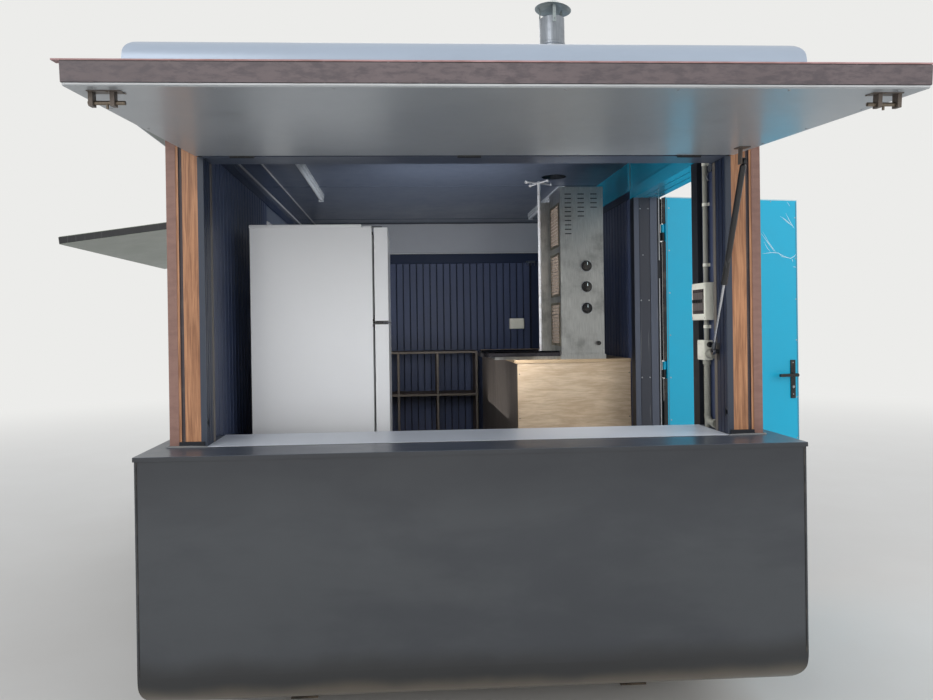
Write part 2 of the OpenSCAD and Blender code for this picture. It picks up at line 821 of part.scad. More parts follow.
// Plate and ear on the underside of a flap that hold the strut's upper end
module strut_upper_ear(x, side) {
  near = x - side * (strut_cyl_r + 0.5);
  far = near - side * bracket_t;
  block([min(near, far), max(near, far)], [-strut_a - 14, -strut_a + 14], [-strut_b - 12, 0]);
  block([x - (side > 0 ? 26 : 12), x + (side > 0 ? 12 : 26)], [-strut_a - 26, -strut_a + 26], [-bracket_t, 0]);
}

module front_flap_fittings() {
  color([0.2, 0.2, 0.21]) {
    both_x() bolt_place() bolt_guide();
    flap_place(front_axis, front_flap_slope, 0) strut_upper_ear(strut_x, 1);
  }
}

module side_bolt() {
  rod_x(bolt_r, bolt_tip_x - bolt_l, bolt_tip_x);
  translate([bolt_tip_x - 44, 0, -14]) cylinder(r = 3, h = 14);
}

module left_bolt() {
  color([0.55, 0.5, 0.45]) mirror([1, 0, 0]) bolt_place() side_bolt();
}

module right_bolt() {
  color([0.55, 0.5, 0.45]) bolt_place() side_bolt();
}

// Upper and lower pivots of a strut in a level frame at the hinge axis
function strut_top(slope) = [
  -strut_a * cos(slope) - strut_b * sin(slope) * -1,
  -strut_a * sin(slope) - strut_b * cos(slope)
];
function strut_low() = [strut_low_y, -strut_low_z];
function strut_angle(slope) = atan2(strut_low()[0] - strut_top(slope)[0], strut_top(slope)[1] - strut_low()[1]);
function strut_length(slope) = norm(strut_top(slope) - strut_low());

// Places its children at the lower pivot with Z along the strut
module strut_place(axis, slope, turn, x) {
  translate(axis) rotate([0, 0, turn]) translate([x, strut_low()[0], strut_low()[1]])
    rotate([strut_angle(slope), 0, 0]) children();
}

module strut_rod(slope) {
  len = strut_length(slope);
  rod_end = len - strut_cyl_l + 90;
  difference() {
    union() {
      translate([0, 0, 8]) cylinder(r = strut_rod_r, h = rod_end - 8);
      rod_x(13, -eye_t / 2, eye_t / 2);
    }
    rod_x(pin_r + pin_gap, -eye_t, eye_t);
  }
}

// Closed cylinder with an eye whose pin reaches toward the ear on the flap
module strut_cylinder(slope, side) {
  len = strut_length(slope);
  low = len - strut_cyl_l;
  difference() {
    translate([0, 0, low]) cylinder(r = strut_cyl_r, h = strut_cyl_l - 16);
    translate([0, 0, low - 1]) cylinder(r = strut_rod_r + 0.05, h = strut_cyl_l - 60);
  }
  translate([0, 0, len]) {
    rod_x(12, -eye_t / 2, eye_t / 2);
    rod_x(pin_r, side > 0 ? -strut_cyl_r : 0, side > 0 ? 0 : strut_cyl_r);
    translate([0, 0, -20]) cylinder(r = 5, h = 10);
  }
}

module front_strut_cylinder() {
  color([0.1, 0.1, 0.1]) strut_place(front_axis, front_flap_slope, 0, strut_x) strut_cylinder(front_flap_slope, 1);
}

module front_strut_rod() {
  color([0.75, 0.76, 0.78]) strut_place(front_axis, front_flap_slope, 0, strut_x) strut_rod(front_flap_slope);
}

// The left flap's strut stands at the rear end of its opening
left_strut_x = -((left_open_y1 - left_open_y0) / 2 - strut_in);

module left_strut_cylinder() {
  color([0.1, 0.1, 0.1]) strut_place(left_axis, left_flap_slope, -90, left_strut_x)
    strut_cylinder(left_flap_slope, -1);
}

module left_strut_rod() {
  color([0.75, 0.76, 0.78]) strut_place(left_axis, left_flap_slope, -90, left_strut_x) strut_rod(left_flap_slope);
}

// Plate on a jamb with the stud that carries the strut's lower eye
module strut_stud(side) {
  x1 = strut_in;
  translate([0, strut_low()[0], strut_low()[1]]) scale([side, 1, 1]) {
    block([x1 - bracket_t, x1], [-16, 16], [-34, 34]);
    rod_x(pin_r, -eye_t / 2 - 3, x1 - 1);
    rod_x(9, eye_t / 2 + 0.5, x1 - 1);
  }
}

module strut_brackets() {
  color([0.12, 0.12, 0.12]) {
    translate(front_axis) translate([strut_x, 0, 0]) strut_stud(1);
    translate(left_axis) rotate([0, 0, -90]) translate([left_strut_x, 0, 0]) mirror([1, 0, 0]) strut_stud(1);
  }
}

module left_flap_frame() {
  color([0.2, 0.21, 0.22]) flap_place(left_axis, left_flap_slope, -90) {
    flap_bars(left_flap_w - 2, left_flap_l, left_flap_t);
    flap_knuckles(left_flap_w);
    strut_upper_ear(left_strut_x, -1);
  }
}

module left_flap_sheets() {
  color([0.43, 0.45, 0.46]) flap_place(left_axis, left_flap_slope, -90) flap_sheets(left_flap_w, left_flap_l, left_flap_t);
}

// The door is drawn closed about its hinge axis, and door_place turns it open
module door_leaf() {
  y0 = -door_edge - door_w;
  x = [-door_t / 2, door_t / 2];
  spindle_y = y0 + lever_backset;
  color([0.24, 0.7, 0.84]) door_place(door_open) difference() {
    union() {
      block(x, [y0, -door_edge], [door_z0, door_z1]);
      for (z = door_hinge_z) {
        translate([0, 0, z + 0.5]) cylinder(r = 10, h = 44);
        block([-3, 3], [-door_edge - 1, 0], [z + 0.5, z + 44.5]);
      }
    }
    for (z = door_hinge_z) translate([0, 0, z - 50]) cylinder(r = 6 + pin_gap, h = 100);
    translate([0, spindle_y, lever_z]) rod_x(9, -60, 60);
  }
}

module door_plates() {
  y0 = -door_edge - door_w + lever_backset;
  color([0.08, 0.08, 0.08]) door_place(door_open) for (s = [-1, 1]) difference() {
    x = s > 0 ? [door_t / 2, door_t / 2 + 6] : [-door_t / 2 - 6, -door_t / 2];
    block(x, [y0 - 15, y0 + 15], [lever_z - 135, lever_z + 85]);
    translate([0, y0, lever_z]) rod_x(9, -60, 60);
  }
}

module door_lever() {
  y0 = -door_edge - door_w + lever_backset;
  color([0.08, 0.08, 0.08]) door_place(door_open) translate([0, y0, lever_z]) {
    rod_x(8.95, -door_t / 2 - 45, door_t / 2 + 45);
    for (s = [-1, 1]) {
      x0 = s * (door_t / 2 + 38);
      block([x0 - 7, x0 + 7], [0, lever_l], [-8, 8]);
      translate([x0, 0, 0]) rod_x(10, -7, 7);
    }
  }
}

module plywood_cabinet() {
  x = [cabinet_x0, in_x - 12];
  y = [cabinet_y, cabinet_y + cabinet_l];
  top = cabinet_top_z;
  color([0.72, 0.6, 0.45]) {
    block([x[0] - 12, x[1]], [y[0] - 8, y[1]], [top - ply_t, top]);
    block([x[0], x[0] + ply_t], y, [floor_z, top - ply_t]);
    for (k = [y[0], (y[0] + y[1]) / 2, y[1] - ply_t]) block(x, [k, k + ply_t], [floor_z, top - ply_t]);
  }
}

module rear_shelves() {
  x = [-open_x + 12, cabinet_x0 - 14];
  y = [in_y - 12 - shelf_d, in_y - 12];
  color([0.5, 0.38, 0.28]) {
    for (z = [floor_z + 120, shelf_top_z - 380, shelf_top_z - ply_t]) block(x, y, [z, z + ply_t]);
    for (k = [0 : 4]) {
      x0 = x[0] + k * (x[1] - x[0] - ply_t) / 4;
      block([x0, x0 + ply_t], y, [floor_z, shelf_top_z - ply_t]);
    }
  }
}

// Hollow stainless column with rows of vent slots, on a flat tray with a shield behind the spit
module grill_column() {
  x = [grill_x0, grill_x0 + grill_w];
  y = [cabinet_y + 10, cabinet_y + 300];
  z0 = cabinet_top_z;
  wall = 3;
  vent_rows = [10, 6, 4];
  vent = [38, 6];
  vent_pitch = [74, 25];
  vent_x0 = x[0] + 28;
  vent_z0 = z0 + grill_h - 44;
  color([0.62, 0.62, 0.6]) {
    difference() {
      union() {
        block(x, y, [z0, z0 + grill_h]);
        block([x[0] - 6, x[1] + 6], [y[0] - 6, y[1]], [z0, z0 + 26]);
      }
      block([x[0] + wall, x[1] - wall], [y[0] + wall, y[1] - wall], [z0 + wall, z0 + grill_h - wall]);
      for (c = [0 : 2], r = [0 : vent_rows[c] - 1])
        translate([vent_x0 + c * vent_pitch[0], y[0] - 1, vent_z0 - r * vent_pitch[1]]) cube([vent[0], 9, vent[1]]);
    }
    block([x[0] - 375, x[0] + 10], [y[0] + 60, y[0] + 440], [z0, z0 + 18]);
    block([x[0] - 70, x[0] + 2], [y[1] - 2, y[1]], [z0 + 18, z0 + grill_h - 40]);
  }
}

module grill_knobs() {
  x = grill_x0 + 148;
  y = cabinet_y + 10;
  color([0.07, 0.07, 0.08]) {
    for (z = [289, 411, 529]) translate([x, y, cabinet_top_z + z]) rotate([90, 0, 0]) {
      cylinder(r = 30, h = 8);
      cylinder(r1 = 25, r2 = 22, h = 26);
    }
    translate([x + 62, y, cabinet_top_z + 90]) rotate([90, 0, 0]) cylinder(r = 12, h = 24);
  }
}

// Upright spit with a round plate at its foot and crossed handles at its top
module grill_spit() {
  z0 = cabinet_top_z + 18.3;
  rod_h = 1030;
  color([0.75, 0.76, 0.78]) translate([grill_x0 - spit_out, cabinet_y + spit_in, z0]) {
    cylinder(r = spit_out - 12, h = 8);
    cylinder(r = 9, h = rod_h);
    for (a = [25, 115]) rotate([0, 0, a]) translate([0, 0, rod_h - 12]) rod_x(5, -90, 90);
  }
}

module fridge_hollow(z0, z1) {
  wall = 45;
  block([fridge_x0 + wall, fridge_x0 + fridge_d + 1], [fridge_y0 + wall, fridge_y0 + fridge_w - wall], [z0, z1]);
}

// Hinge axis of both fridge doors, at the cabinet's near corner
fridge_gasket = 10;
fridge_plate_t = 4;
fridge_pin_r = 5;
fridge_hinge_x = fridge_x0 + fridge_d + fridge_gasket + 24;
fridge_hinge_y = fridge_y0 + 14;
fridge_door_x0 = fridge_x0 + fridge_d + fridge_gasket;
fridge_top_z = floor_z + fridge_h;
fridge_low_hinge_z = fridge_z0 + 20;

// Hinge plate fixed to the cabinet, with a pin that stands up or hangs down from it
module fridge_hinge(z, up, down) {
  reach = 10;
  block([fridge_x0 + fridge_d - 40, fridge_hinge_x + 12], [fridge_y0 + 2, fridge_y0 + 40], [z, z + fridge_plate_t]);
  if (up) translate([fridge_hinge_x, fridge_hinge_y, z]) cylinder(r = fridge_pin_r, h = fridge_plate_t + reach);
  if (down) translate([fridge_hinge_x, fridge_hinge_y, z - reach]) cylinder(r = fridge_pin_r, h = reach + 1);
}

module fridge_cabinet() {
  color([0.9, 0.91, 0.92]) {
    difference() {
      block([fridge_x0, fridge_x0 + fridge_d], [fridge_y0, fridge_y0 + fridge_w], [fridge_z0, fridge_top_z]);
      fridge_hollow(fridge_z0 + 60, fridge_split_z - 30);
      fridge_hollow(fridge_split_z + 30, fridge_top_z - 45);
    }
    for (x = [fridge_x0 + 50, fridge_x0 + fridge_d - 50], y = [fridge_y0 + 50, fridge_y0 + fridge_w - 50])
      translate([x, y, floor_z]) cylinder(r = 20, h = fridge_z0 - floor_z + 1);
    fridge_hinge(fridge_low_hinge_z, true, false);
    fridge_hinge(fridge_split_z, true, true);
    fridge_hinge(fridge_top_z, false, true);
  }
}

module fridge_door(z0, z1) {
  depth = 11;
  difference() {
    block([fridge_door_x0, fridge_door_x0 + fridge_door_t], [fridge_y0, fridge_y0 + fridge_w], [z0, z1]);
    for (z = [z0 - 1, z1 - depth]) translate([fridge_hinge_x, fridge_hinge_y, z])
      cylinder(r = fridge_pin_r + pin_gap, h = depth + 1);
  }
}

module fridge_upper_door() {
  color([0.92, 0.93, 0.94]) fridge_door(fridge_split_z + fridge_plate_t + 0.5, fridge_top_z - 0.5);
}

module fridge_lower_door() {
  color([0.92, 0.93, 0.94]) fridge_door(fridge_low_hinge_z + fridge_plate_t + 0.5, fridge_split_z - 0.5);
}

base_frame();
legs();
floor_deck();
front_skirt();
left_skirt();
right_skirt();
rear_skirt();
counter_top();
side_ledges();
corner_posts();
post_cladding();
corner_trims();
opening_trims();
left_walls();
right_walls();
rear_wall();
sill_walls();
lintels();
door_head();
door_jambs();
roof_frame();
soffit();
roof_shell();
ceiling();
upper_bands();
teal_band();
ceiling_lamps();
flue_pipe();
flue_cap();
electric_boxes();
conduit();
front_flap_frame();
front_flap_sheets();
front_flap_fascia();
front_flap_fittings();
front_strut_cylinder();
front_strut_rod();
left_bolt();
right_bolt();
left_flap_frame();
left_flap_sheets();
left_strut_cylinder();
left_strut_rod();
strut_brackets();
hinge_pins();
door_leaf();
door_plates();
door_lever();
plywood_cabinet();
rear_shelves();
grill_column();
grill_knobs();
grill_spit();
fridge_cabinet();
fridge_upper_door();
fridge_lower_door();
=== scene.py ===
"""Looks of the street kiosk: finishes for every carried-over node and the finer pieces.

Metres, +Z up, the serving front faces minus Y, the ground is at zero.
"""
from __future__ import annotations

import logging
import math
import random
from dataclasses import dataclass
from enum import Enum
from typing import Callable, Iterable, Sequence

import bmesh
import bpy
from mathutils import Matrix, Vector


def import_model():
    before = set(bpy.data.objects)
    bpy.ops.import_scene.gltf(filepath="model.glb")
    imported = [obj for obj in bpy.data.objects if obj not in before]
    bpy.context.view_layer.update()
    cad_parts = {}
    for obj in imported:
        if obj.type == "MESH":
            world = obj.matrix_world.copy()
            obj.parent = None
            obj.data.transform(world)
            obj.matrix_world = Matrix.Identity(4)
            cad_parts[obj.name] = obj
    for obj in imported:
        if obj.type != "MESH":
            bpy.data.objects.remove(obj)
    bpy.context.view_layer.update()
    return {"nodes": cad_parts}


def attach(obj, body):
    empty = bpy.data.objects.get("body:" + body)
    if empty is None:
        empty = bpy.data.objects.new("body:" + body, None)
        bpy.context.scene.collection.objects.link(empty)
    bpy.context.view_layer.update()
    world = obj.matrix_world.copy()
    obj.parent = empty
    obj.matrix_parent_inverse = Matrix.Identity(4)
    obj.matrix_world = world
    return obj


log = logging.getLogger("kiosk")

Point = Sequence[float]
Span = tuple[float, float]
Colour = tuple[float, float, float]
Socket = bpy.types.NodeSocket
BODY = "kiosk"
SEED = 7
SMOOTH = 0.6  # angle in radians up to which faces shade smoothly


class Axis(Enum):
    """Axis along which boards repeat or their grain lies."""

    X = 0
    Y = 1
    Z = 2


def srgb(*parts: float) -> Colour:
    """Linear colour of a screen colour with parts from 0 to 255."""
    shares = [c / 255 for c in parts]
    return tuple(c / 12.92 if c <= 0.04045 else ((c + 0.055) / 1.055) ** 2.4 for c in shares)


def rgba(colour: Colour) -> tuple[float, float, float, float]:
    """The colour with a full fourth part."""
    return (*colour[:3], 1.0)


def dim(colour: Colour, gain: float) -> Colour:
    """The colour times a number."""
    return tuple(c * gain for c in colour)


# ------------------------------------------------------------ nodes and effects


class Tree:
    """Short calls for the nodes of one material or node group."""

    def __init__(self, tree: bpy.types.NodeTree) -> None:
        """Keeps the node tree."""
        self.tree = tree

    def node(self, kind: str, props: dict | None = None, **inputs: object) -> bpy.types.Node:
        """Adds a node.

        Args:
            kind: node type without its ShaderNode prefix.
            props: properties of the node.
            **inputs: values or sockets by input name, with _ for a space.

        Returns:
            The new node.
        """
        made = self.tree.nodes.new("ShaderNode" + kind)
        for key, value in (props or {}).items():
            setattr(made, key, value)
        for key, value in inputs.items():
            self.put(made.inputs[key.replace("_", " ")], value)
        return made

    def put(self, socket: Socket, value: object) -> None:
        """Links a socket to an input, or writes a plain value on it.

        Args:
            socket: the input.
            value: a socket, colour, vector or number.
        """
        if isinstance(value, Socket):
            self.tree.links.new(value, socket)
        else:
            socket.default_value = rgba(value) if socket.type == "RGBA" else value

    def fill(self, node: bpy.types.Node, slots: Sequence[int], *values: object) -> bpy.types.Node:
        """Puts values on a node's inputs by their numbers.

        Args:
            node: the node.
            slots: numbers of the inputs.
            *values: a value or socket for each.

        Returns:
            The node.
        """
        for slot, value in zip(slots, values):
            self.put(node.inputs[slot], value)
        return node

    def calc(self, operation: str, a: object, b: object = 0.0, clamp: bool = False) -> Socket:
        """Result of a Math node on one or two values or sockets."""
        made = self.node("Math", {"operation": operation, "use_clamp": clamp})
        return self.fill(made, (0, 1, 2), a, b, 0.0).outputs[0]

    def add(self, a: object, b: object, clamp: bool = False) -> Socket:
        """Sum of two values or sockets."""
        return self.calc("ADD", a, b, clamp)

    def sub(self, a: object, b: object, clamp: bool = False) -> Socket:
        """The first value or socket less the second."""
        return self.calc("SUBTRACT", a, b, clamp)

    def mul(self, a: object, b: object, clamp: bool = False) -> Socket:
        """Product of two values or sockets."""
        return self.calc("MULTIPLY", a, b, clamp)

    def div(self, a: object, b: object, clamp: bool = False) -> Socket:
        """The first value or socket divided by the second."""
        return self.calc("DIVIDE", a, b, clamp)

    def fit(self, value: object, low: float, high: float, start: float = 0.0, end: float = 1.0) -> Socket:
        """The value brought smoothly from low..high to start..end."""
        ends = {"From_Min": low, "From_Max": high, "To_Min": start, "To_Max": end}
        return self.node("MapRange", {"interpolation_type": "SMOOTHSTEP"}, Value=value, **ends).outputs[0]

    def blend(self, share: object, a: object, b: object, mode: str = "MIX") -> Socket:
        """Mixes colour b into colour a by a share."""
        made = self.node("Mix", {"data_type": "RGBA", "blend_type": mode})
        return self.fill(made, (0, 6, 7), share, a, b).outputs[2]

    def shade(self, colour: object, gain: object) -> Socket:
        """The colour times a grey."""
        grey = self.node("CombineColor", None, Red=gain, Green=gain, Blue=gain).outputs[0]
        return self.blend(1.0, colour, grey, "MULTIPLY")

    def here(self) -> Socket:
        """The object coordinates."""
        return self.node("TexCoord").outputs["Object"]

    def place(self, scale: Point = (1, 1, 1), turn: Point = (0, 0, 0), vector: object = None) -> Socket:
        """A vector, or else the object coordinates, stretched and turned by a Mapping node."""
        made = self.node("Mapping", None, Vector=vector or self.here())
        return self.fill(made, (2, 3), tuple(turn), tuple(scale)).outputs[0]

    def noise(self, vector: object, scale: object, detail: float, rough: float, twist: float = 0.0) -> Socket:
        """Factor of a noise texture."""
        more = {"Detail": detail, "Roughness": rough, "Distortion": twist}
        return self.node("TexNoise", None, Vector=vector, Scale=scale, **more).outputs[0]

    def split(self, vector: object = None) -> Sequence[Socket]:
        """The three parts of a vector, or of the object coordinates."""
        return tuple(self.node("SeparateXYZ", None, Vector=vector or self.here()).outputs)


class Effect(Enum):
    """Shared effects, each one a node group that is built once."""

    DRIFT = "tone drift"
    GRIME = "grime by height"
    RUST = "rust bloom"
    GRAIN = "wood grain"
    SPECKS = "pale specks"
    SCRATCHES = "fine scratches"


Results = dict[str, Socket]
_makers: dict[Effect, tuple[Callable[[Tree, Results], Results], dict]] = {}


def maker(which: Effect, **defaults: object) -> Callable:
    """Says which effect a function makes.

    Args:
        which: the effect.
        **defaults: default by input name, with _ for a space; a tuple stands for a colour, None for a vector.

    Returns:
        A decorator for the function, which gets a tree and its inputs and returns its results by name.
    """

    def keep(function: Callable) -> Callable:
        """Keeps the function with its defaults."""
        _makers[which] = (function, defaults)
        return function

    return keep


def effect(which: Effect) -> bpy.types.NodeTree:
    """The effect's node group, built at its first use.

    Args:
        which: the effect.

    Returns:
        The group, with a colour output named Color and numbers as its other outputs.
    """
    known = bpy.data.node_groups.get(which.value)
    if known:
        return known
    function, defaults = _makers[which]
    group = bpy.data.node_groups.new(which.value, "ShaderNodeTree")
    for name, default in defaults.items():
        kind = "Vector" if default is None else "Color" if isinstance(default, tuple) else "Float"
        made = group.interface.new_socket(name=name, in_out="INPUT", socket_type="NodeSocket" + kind)
        if default is not None:
            made.default_value = rgba(default) if kind == "Color" else default
    tree, start = Tree(group), group.nodes.new("NodeGroupInput")
    results = function(tree, {s.name: s for s in start.outputs})
    for name in results:
        kind = "Color" if name == "Color" else "Float"
        group.interface.new_socket(name=name, in_out="OUTPUT", socket_type="NodeSocket" + kind)
    end = group.nodes.new("NodeGroupOutput")
    for name, value in results.items():
        tree.put(end.inputs[name], value)
    return group


GREY = (0.5, 0.5, 0.5)


@maker(Effect.DRIFT, Color=GREY, Amount=0.2, Size=1.0)
def drift(tree: Tree, into: Results) -> Results:
    """Slow and fine changes of tone, as on any painted or worn surface.

    Args:
        tree: the group's tree.
        into: the group's inputs by name.

    Returns:
        The group's results by name.
    """
    where = tree.place()
    slow = tree.noise(where, tree.div(2.2, into["Size"]), 4.0, 0.6)
    fine = tree.noise(where, tree.div(16.0, into["Size"]), 3.0, 0.6)
    mask = tree.add(tree.mul(slow, 0.75), tree.mul(fine, 0.25))
    gain = tree.add(1.0, tree.mul(into["Amount"], tree.mul(tree.sub(mask, 0.5), 4.0)))
    return {"Color": tree.shade(into["Color"], gain), "Mask": mask}


@maker(Effect.GRIME, Color=GREY, Dirt=srgb(128, 112, 92), Bottom=0.2, Top=0.6, Amount=0.6)
def grime(tree: Tree, into: Results) -> Results:
    """Dust and splashed dirt that thins out with height.

    Args:
        tree: the group's tree.
        into: the group's inputs by name.

    Returns:
        The group's results by name.
    """
    where = tree.here()
    broken = tree.noise(tree.place((1, 1, 0.6), vector=where), 9.0, 5.0, 0.65)
    fine = tree.noise(where, 140.0, 2.0, 0.7)
    height = tree.sub(into["Top"], into["Bottom"])
    fall = tree.div(tree.sub(into["Top"], tree.split(where)[2]), height, True)
    patchy = tree.fit(tree.add(broken, tree.mul(fine, 0.35)), 0.4, 0.95)
    mask = tree.mul(tree.mul(tree.calc("POWER", fall, 1.6), patchy), into["Amount"], True)
    return {"Color": tree.blend(mask, into["Color"], into["Dirt"]), "Mask": mask}


@maker(Effect.RUST, Color=GREY, Amount=0.3, Size=1.0)
def rust(tree: Tree, into: Results) -> Results:
    """Rust in patches with a dark heart and an orange rim.

    Args:
        tree: the group's tree.
        into: the group's inputs by name.

    Returns:
        The group's results by name.
    """
    where = tree.place()
    patch = tree.noise(where, tree.div(7.0, into["Size"]), 7.0, 0.68, 0.4)
    edge = tree.sub(0.82, tree.mul(into["Amount"], 0.42))
    mask = tree.mul(tree.sub(patch, edge), 9.0, True)
    tone = tree.noise(where, 55.0, 5.0, 0.7)
    bloom = tree.blend(tree.fit(tone, 0.35, 0.65), srgb(74, 40, 26), srgb(150, 84, 46))
    return {"Color": tree.blend(mask, into["Color"], bloom), "Mask": mask, "Height": tree.mul(mask, tone)}


@maker(Effect.GRAIN, Where=None, Light=GREY, Dark=GREY, Size=1.0, Contrast=1.0)
def grain(tree: Tree, into: Results) -> Results:
    """Long wood grain along Z of the given place, with darker late wood and pores.

    Args:
        tree: the group's tree.
        into: the group's inputs by name.

    Returns:
        The group's results by name.
    """
    bands = tree.noise(tree.place((1, 1, 0.05), vector=into["Where"]), tree.div(42.0, into["Size"]), 4.0, 0.6, 0.5)
    lines = tree.noise(tree.place((1, 1, 0.015), vector=into["Where"]), tree.div(260.0, into["Size"]), 3.0, 0.7)
    mix = tree.add(tree.mul(bands, 0.62), tree.mul(lines, 0.38))
    share = tree.mul(tree.fit(mix, 0.36, 0.64), into["Contrast"], True)
    return {"Color": tree.blend(share, into["Light"], into["Dark"]), "Height": tree.sub(1.0, share)}


@maker(Effect.SPECKS, Color=GREY, Speck=(0.8, 0.78, 0.75), Amount=0.3, Size=1.0)
def specks(tree: Tree, into: Results) -> Results:
    """Small chips and splashes in a pale tone.

    Args:
        tree: the group's tree.
        into: the group's inputs by name.

    Returns:
        The group's results by name.
    """
    where = tree.place((1, 1, 0.8))
    dots = tree.node("TexVoronoi", None, Vector=where, Scale=tree.div(60.0, into["Size"]), Randomness=1.0)
    edge = tree.mul(tree.sub(tree.noise(where, 11.0, 4.0, 0.7), 0.45), into["Amount"])
    mask = tree.mul(tree.sub(edge, tree.mul(dots.outputs[0], 0.35)), 40.0, True)
    return {"Color": tree.blend(mask, into["Color"], into["Speck"])}


@maker(Effect.SCRATCHES, Color=GREY, Scratch=(0.8, 0.8, 0.8), Amount=0.3)
def scratches(tree: Tree, into: Results) -> Results:
    """Fine crossing scratches and hairlines.

    Args:
        tree: the group's tree.
        into: the group's inputs by name.

    Returns:
        The group's results by name.
    """
    hits = []
    for turn, thin in (((0.35, 0.5, 0.8), 0.02), ((-0.6, 0.3, -0.5), 0.03)):
        hits.append(tree.fit(tree.noise(tree.place((1, 1, thin), turn), 75.0, 1.0, 0.4, 0.6), 0.69, 0.74))
    where = tree.fit(tree.noise(tree.place(), 2.3, 2.0, 0.5), 0.42, 0.62)
    mask = tree.mul(tree.mul(tree.calc("MAXIMUM", *hits), where), into["Amount"], True)
    return {"Color": tree.blend(mask, into["Color"], into["Scratch"])}


# ------------------------------------------------------------------ finishes


@dataclass
class Surface:
    """Tone, roughness and height of a material while effects are laid over it.

    Attributes:
        tree: the material's nodes.
        colour: its tone so far, a colour or socket.
        rough: its roughness so far.
        height: its height so far.
    """

    tree: Tree
    colour: object
    rough: object = 0.5
    height: object = 0.0

    def lay(self, which: Effect, rougher: float = 0.0, **inputs: object) -> Results:
        """Lays an effect over the tone.

        Args:
            which: the effect.
            rougher: roughness that its full mask adds.
            **inputs: the effect's own values.

        Returns:
            The effect's outputs.
        """
        out = self.tree.node("Group", {"node_tree": effect(which)}, Color=self.colour, **inputs).outputs
        self.colour = out["Color"]
        if rougher:
            self.rough = self.tree.add(self.rough, self.tree.mul(out["Mask"], rougher), True)
        return out

    def lift(self, mask: Socket, gain: float) -> None:
        """Adds a mask to the height."""
        self.height = self.tree.add(self.height, self.tree.mul(mask, gain))

    def close(self, depth: float, **plain: object) -> None:
        """Feeds the shader.

        Args:
            depth: depth of the height in metres.
            **plain: further inputs of the shader.
        """
        bump = self.tree.node("Bump", None, Height=self.height, Distance=depth, Strength=1.0).outputs[0]
        fed = {"Base_Color": self.colour, "Roughness": self.rough, "Normal": bump, **plain}
        skin = self.tree.node("BsdfPrincipled", None, **fed)
        self.tree.node("OutputMaterial", None, Surface=skin.outputs[0])


@dataclass(frozen=True)
class Finish:
    """What every finish has.

    Attributes:
        name: name of the material.
        colour: main colour, linear.
        rough: roughness of the clean surface.
    """

    name: str
    colour: Colour
    rough: float

    def material(self) -> bpy.types.Material:
        """The finish's material, made at its first use.

        Returns:
            The material.
        """
        name = "finish_" + self.name
        made = bpy.data.materials.get(name)
        if made is None:
            made = bpy.data.materials.new(name)
            made.use_nodes = True
            made.node_tree.nodes.clear()
            self.dress(Surface(Tree(made.node_tree), self.colour))
        return made

    def dress(self, skin: Surface) -> None:
        """Fills the shader; each kind of finish has its own way."""
        raise NotImplementedError


@dataclass(frozen=True)
class Coated(Finish):
    """Paint, powder coat or enamel on sheet metal.

    Attributes:
        metal: metallic share of the coat.
        drift: strength of the slow tone changes.
        grime: share of dirt at the bottom of the dirt's range.
        grime_z: lower and upper height of the dirt.
        rust: amount of rust, none at zero.
        rust_size: size of the rust patches.
        specks: amount of pale specks.
        scratches: amount of scratches.
        coat: weight of the clear coat.
        dents: depth of the sheet's slow waves in metres.
        mottle: share of a second tone in long level clouds.
        mottle_colour: the second tone.
        mottle_size: size of the clouds.
        bands: wavy level bands of painted light and shade, each from none at one height to full at another, with colour
            and share.
        peel: depth of the coat's orange peel in metres.
    """

    metal: float = 0.0
    drift: float = 0.12
    grime: float = 0.0
    grime_z: Span = (0.2, 0.6)
    rust: float = 0.0
    rust_size: float = 1.0
    specks: float = 0.0
    scratches: float = 0.0
    coat: float = 0.0
    dents: float = 0.0
    mottle: float = 0.0
    mottle_colour: Colour = GREY
    mottle_size: float = 1.0
    bands: tuple[tuple[float, float, Colour, float], ...] = ()
    peel: float = 0.00004

    def dress(self, skin: Surface) -> None:
        """Lays mottling, bands of painted light and shade, scratches, specks, dirt and rust over each other.

        Args:
            skin: the surface to dress.
        """
        tree = skin.tree
        tone = skin.lay(Effect.DRIFT, Amount=self.drift)["Mask"]
        skin.rough = tree.fit(tone, 0.3, 0.7, self.rough * 0.86, min(1.0, self.rough * 1.2))
        skin.height = tree.noise(tree.place(), 45.0, 1.0, 0.5)
        if self.mottle:
            cloud = tree.noise(tree.place((0.35, 1, 1)), 40.0 / self.mottle_size, 7.0, 0.62, 0.2)
            share = tree.mul(tree.fit(cloud, 0.4, 0.66), self.mottle)
            skin.colour = tree.blend(share, skin.colour, self.mottle_colour)
        # each band is painted light and shade that changes with height
        for start, end, tint, amount in self.bands:
            wave = tree.mul(tree.sub(tree.noise(tree.place((1, 1, 0.4)), 2.2, 3.0, 0.55), 0.5), 0.14)
            level = tree.fit(tree.add(tree.split()[2], wave), start, end)
            skin.colour = tree.blend(tree.mul(level, amount), skin.colour, tint)
        if self.scratches:
            skin.lay(Effect.SCRATCHES, Scratch=srgb(190, 190, 190), Amount=self.scratches)
        if self.specks:
            skin.lay(Effect.SPECKS, Amount=self.specks)
        if self.grime:
            low, high = self.grime_z
            dirt = {"Dirt": srgb(136, 120, 100), "Bottom": low, "Top": high, "Amount": self.grime}
            skin.lift(skin.lay(Effect.GRIME, 0.4, **dirt)["Mask"], 1.5)
        if self.rust:
            bloom = skin.lay(Effect.RUST, 0.4, Amount=self.rust, Size=self.rust_size)
            skin.lift(bloom["Height"], 6.0)
        if self.dents:
            skin.lift(tree.noise(tree.place((1, 1, 0.7)), 2.6, 1.0, 0.4), self.dents / self.peel)
        skin.close(self.peel, Metallic=self.metal, Coat_Weight=self.coat, Coat_Roughness=0.12)


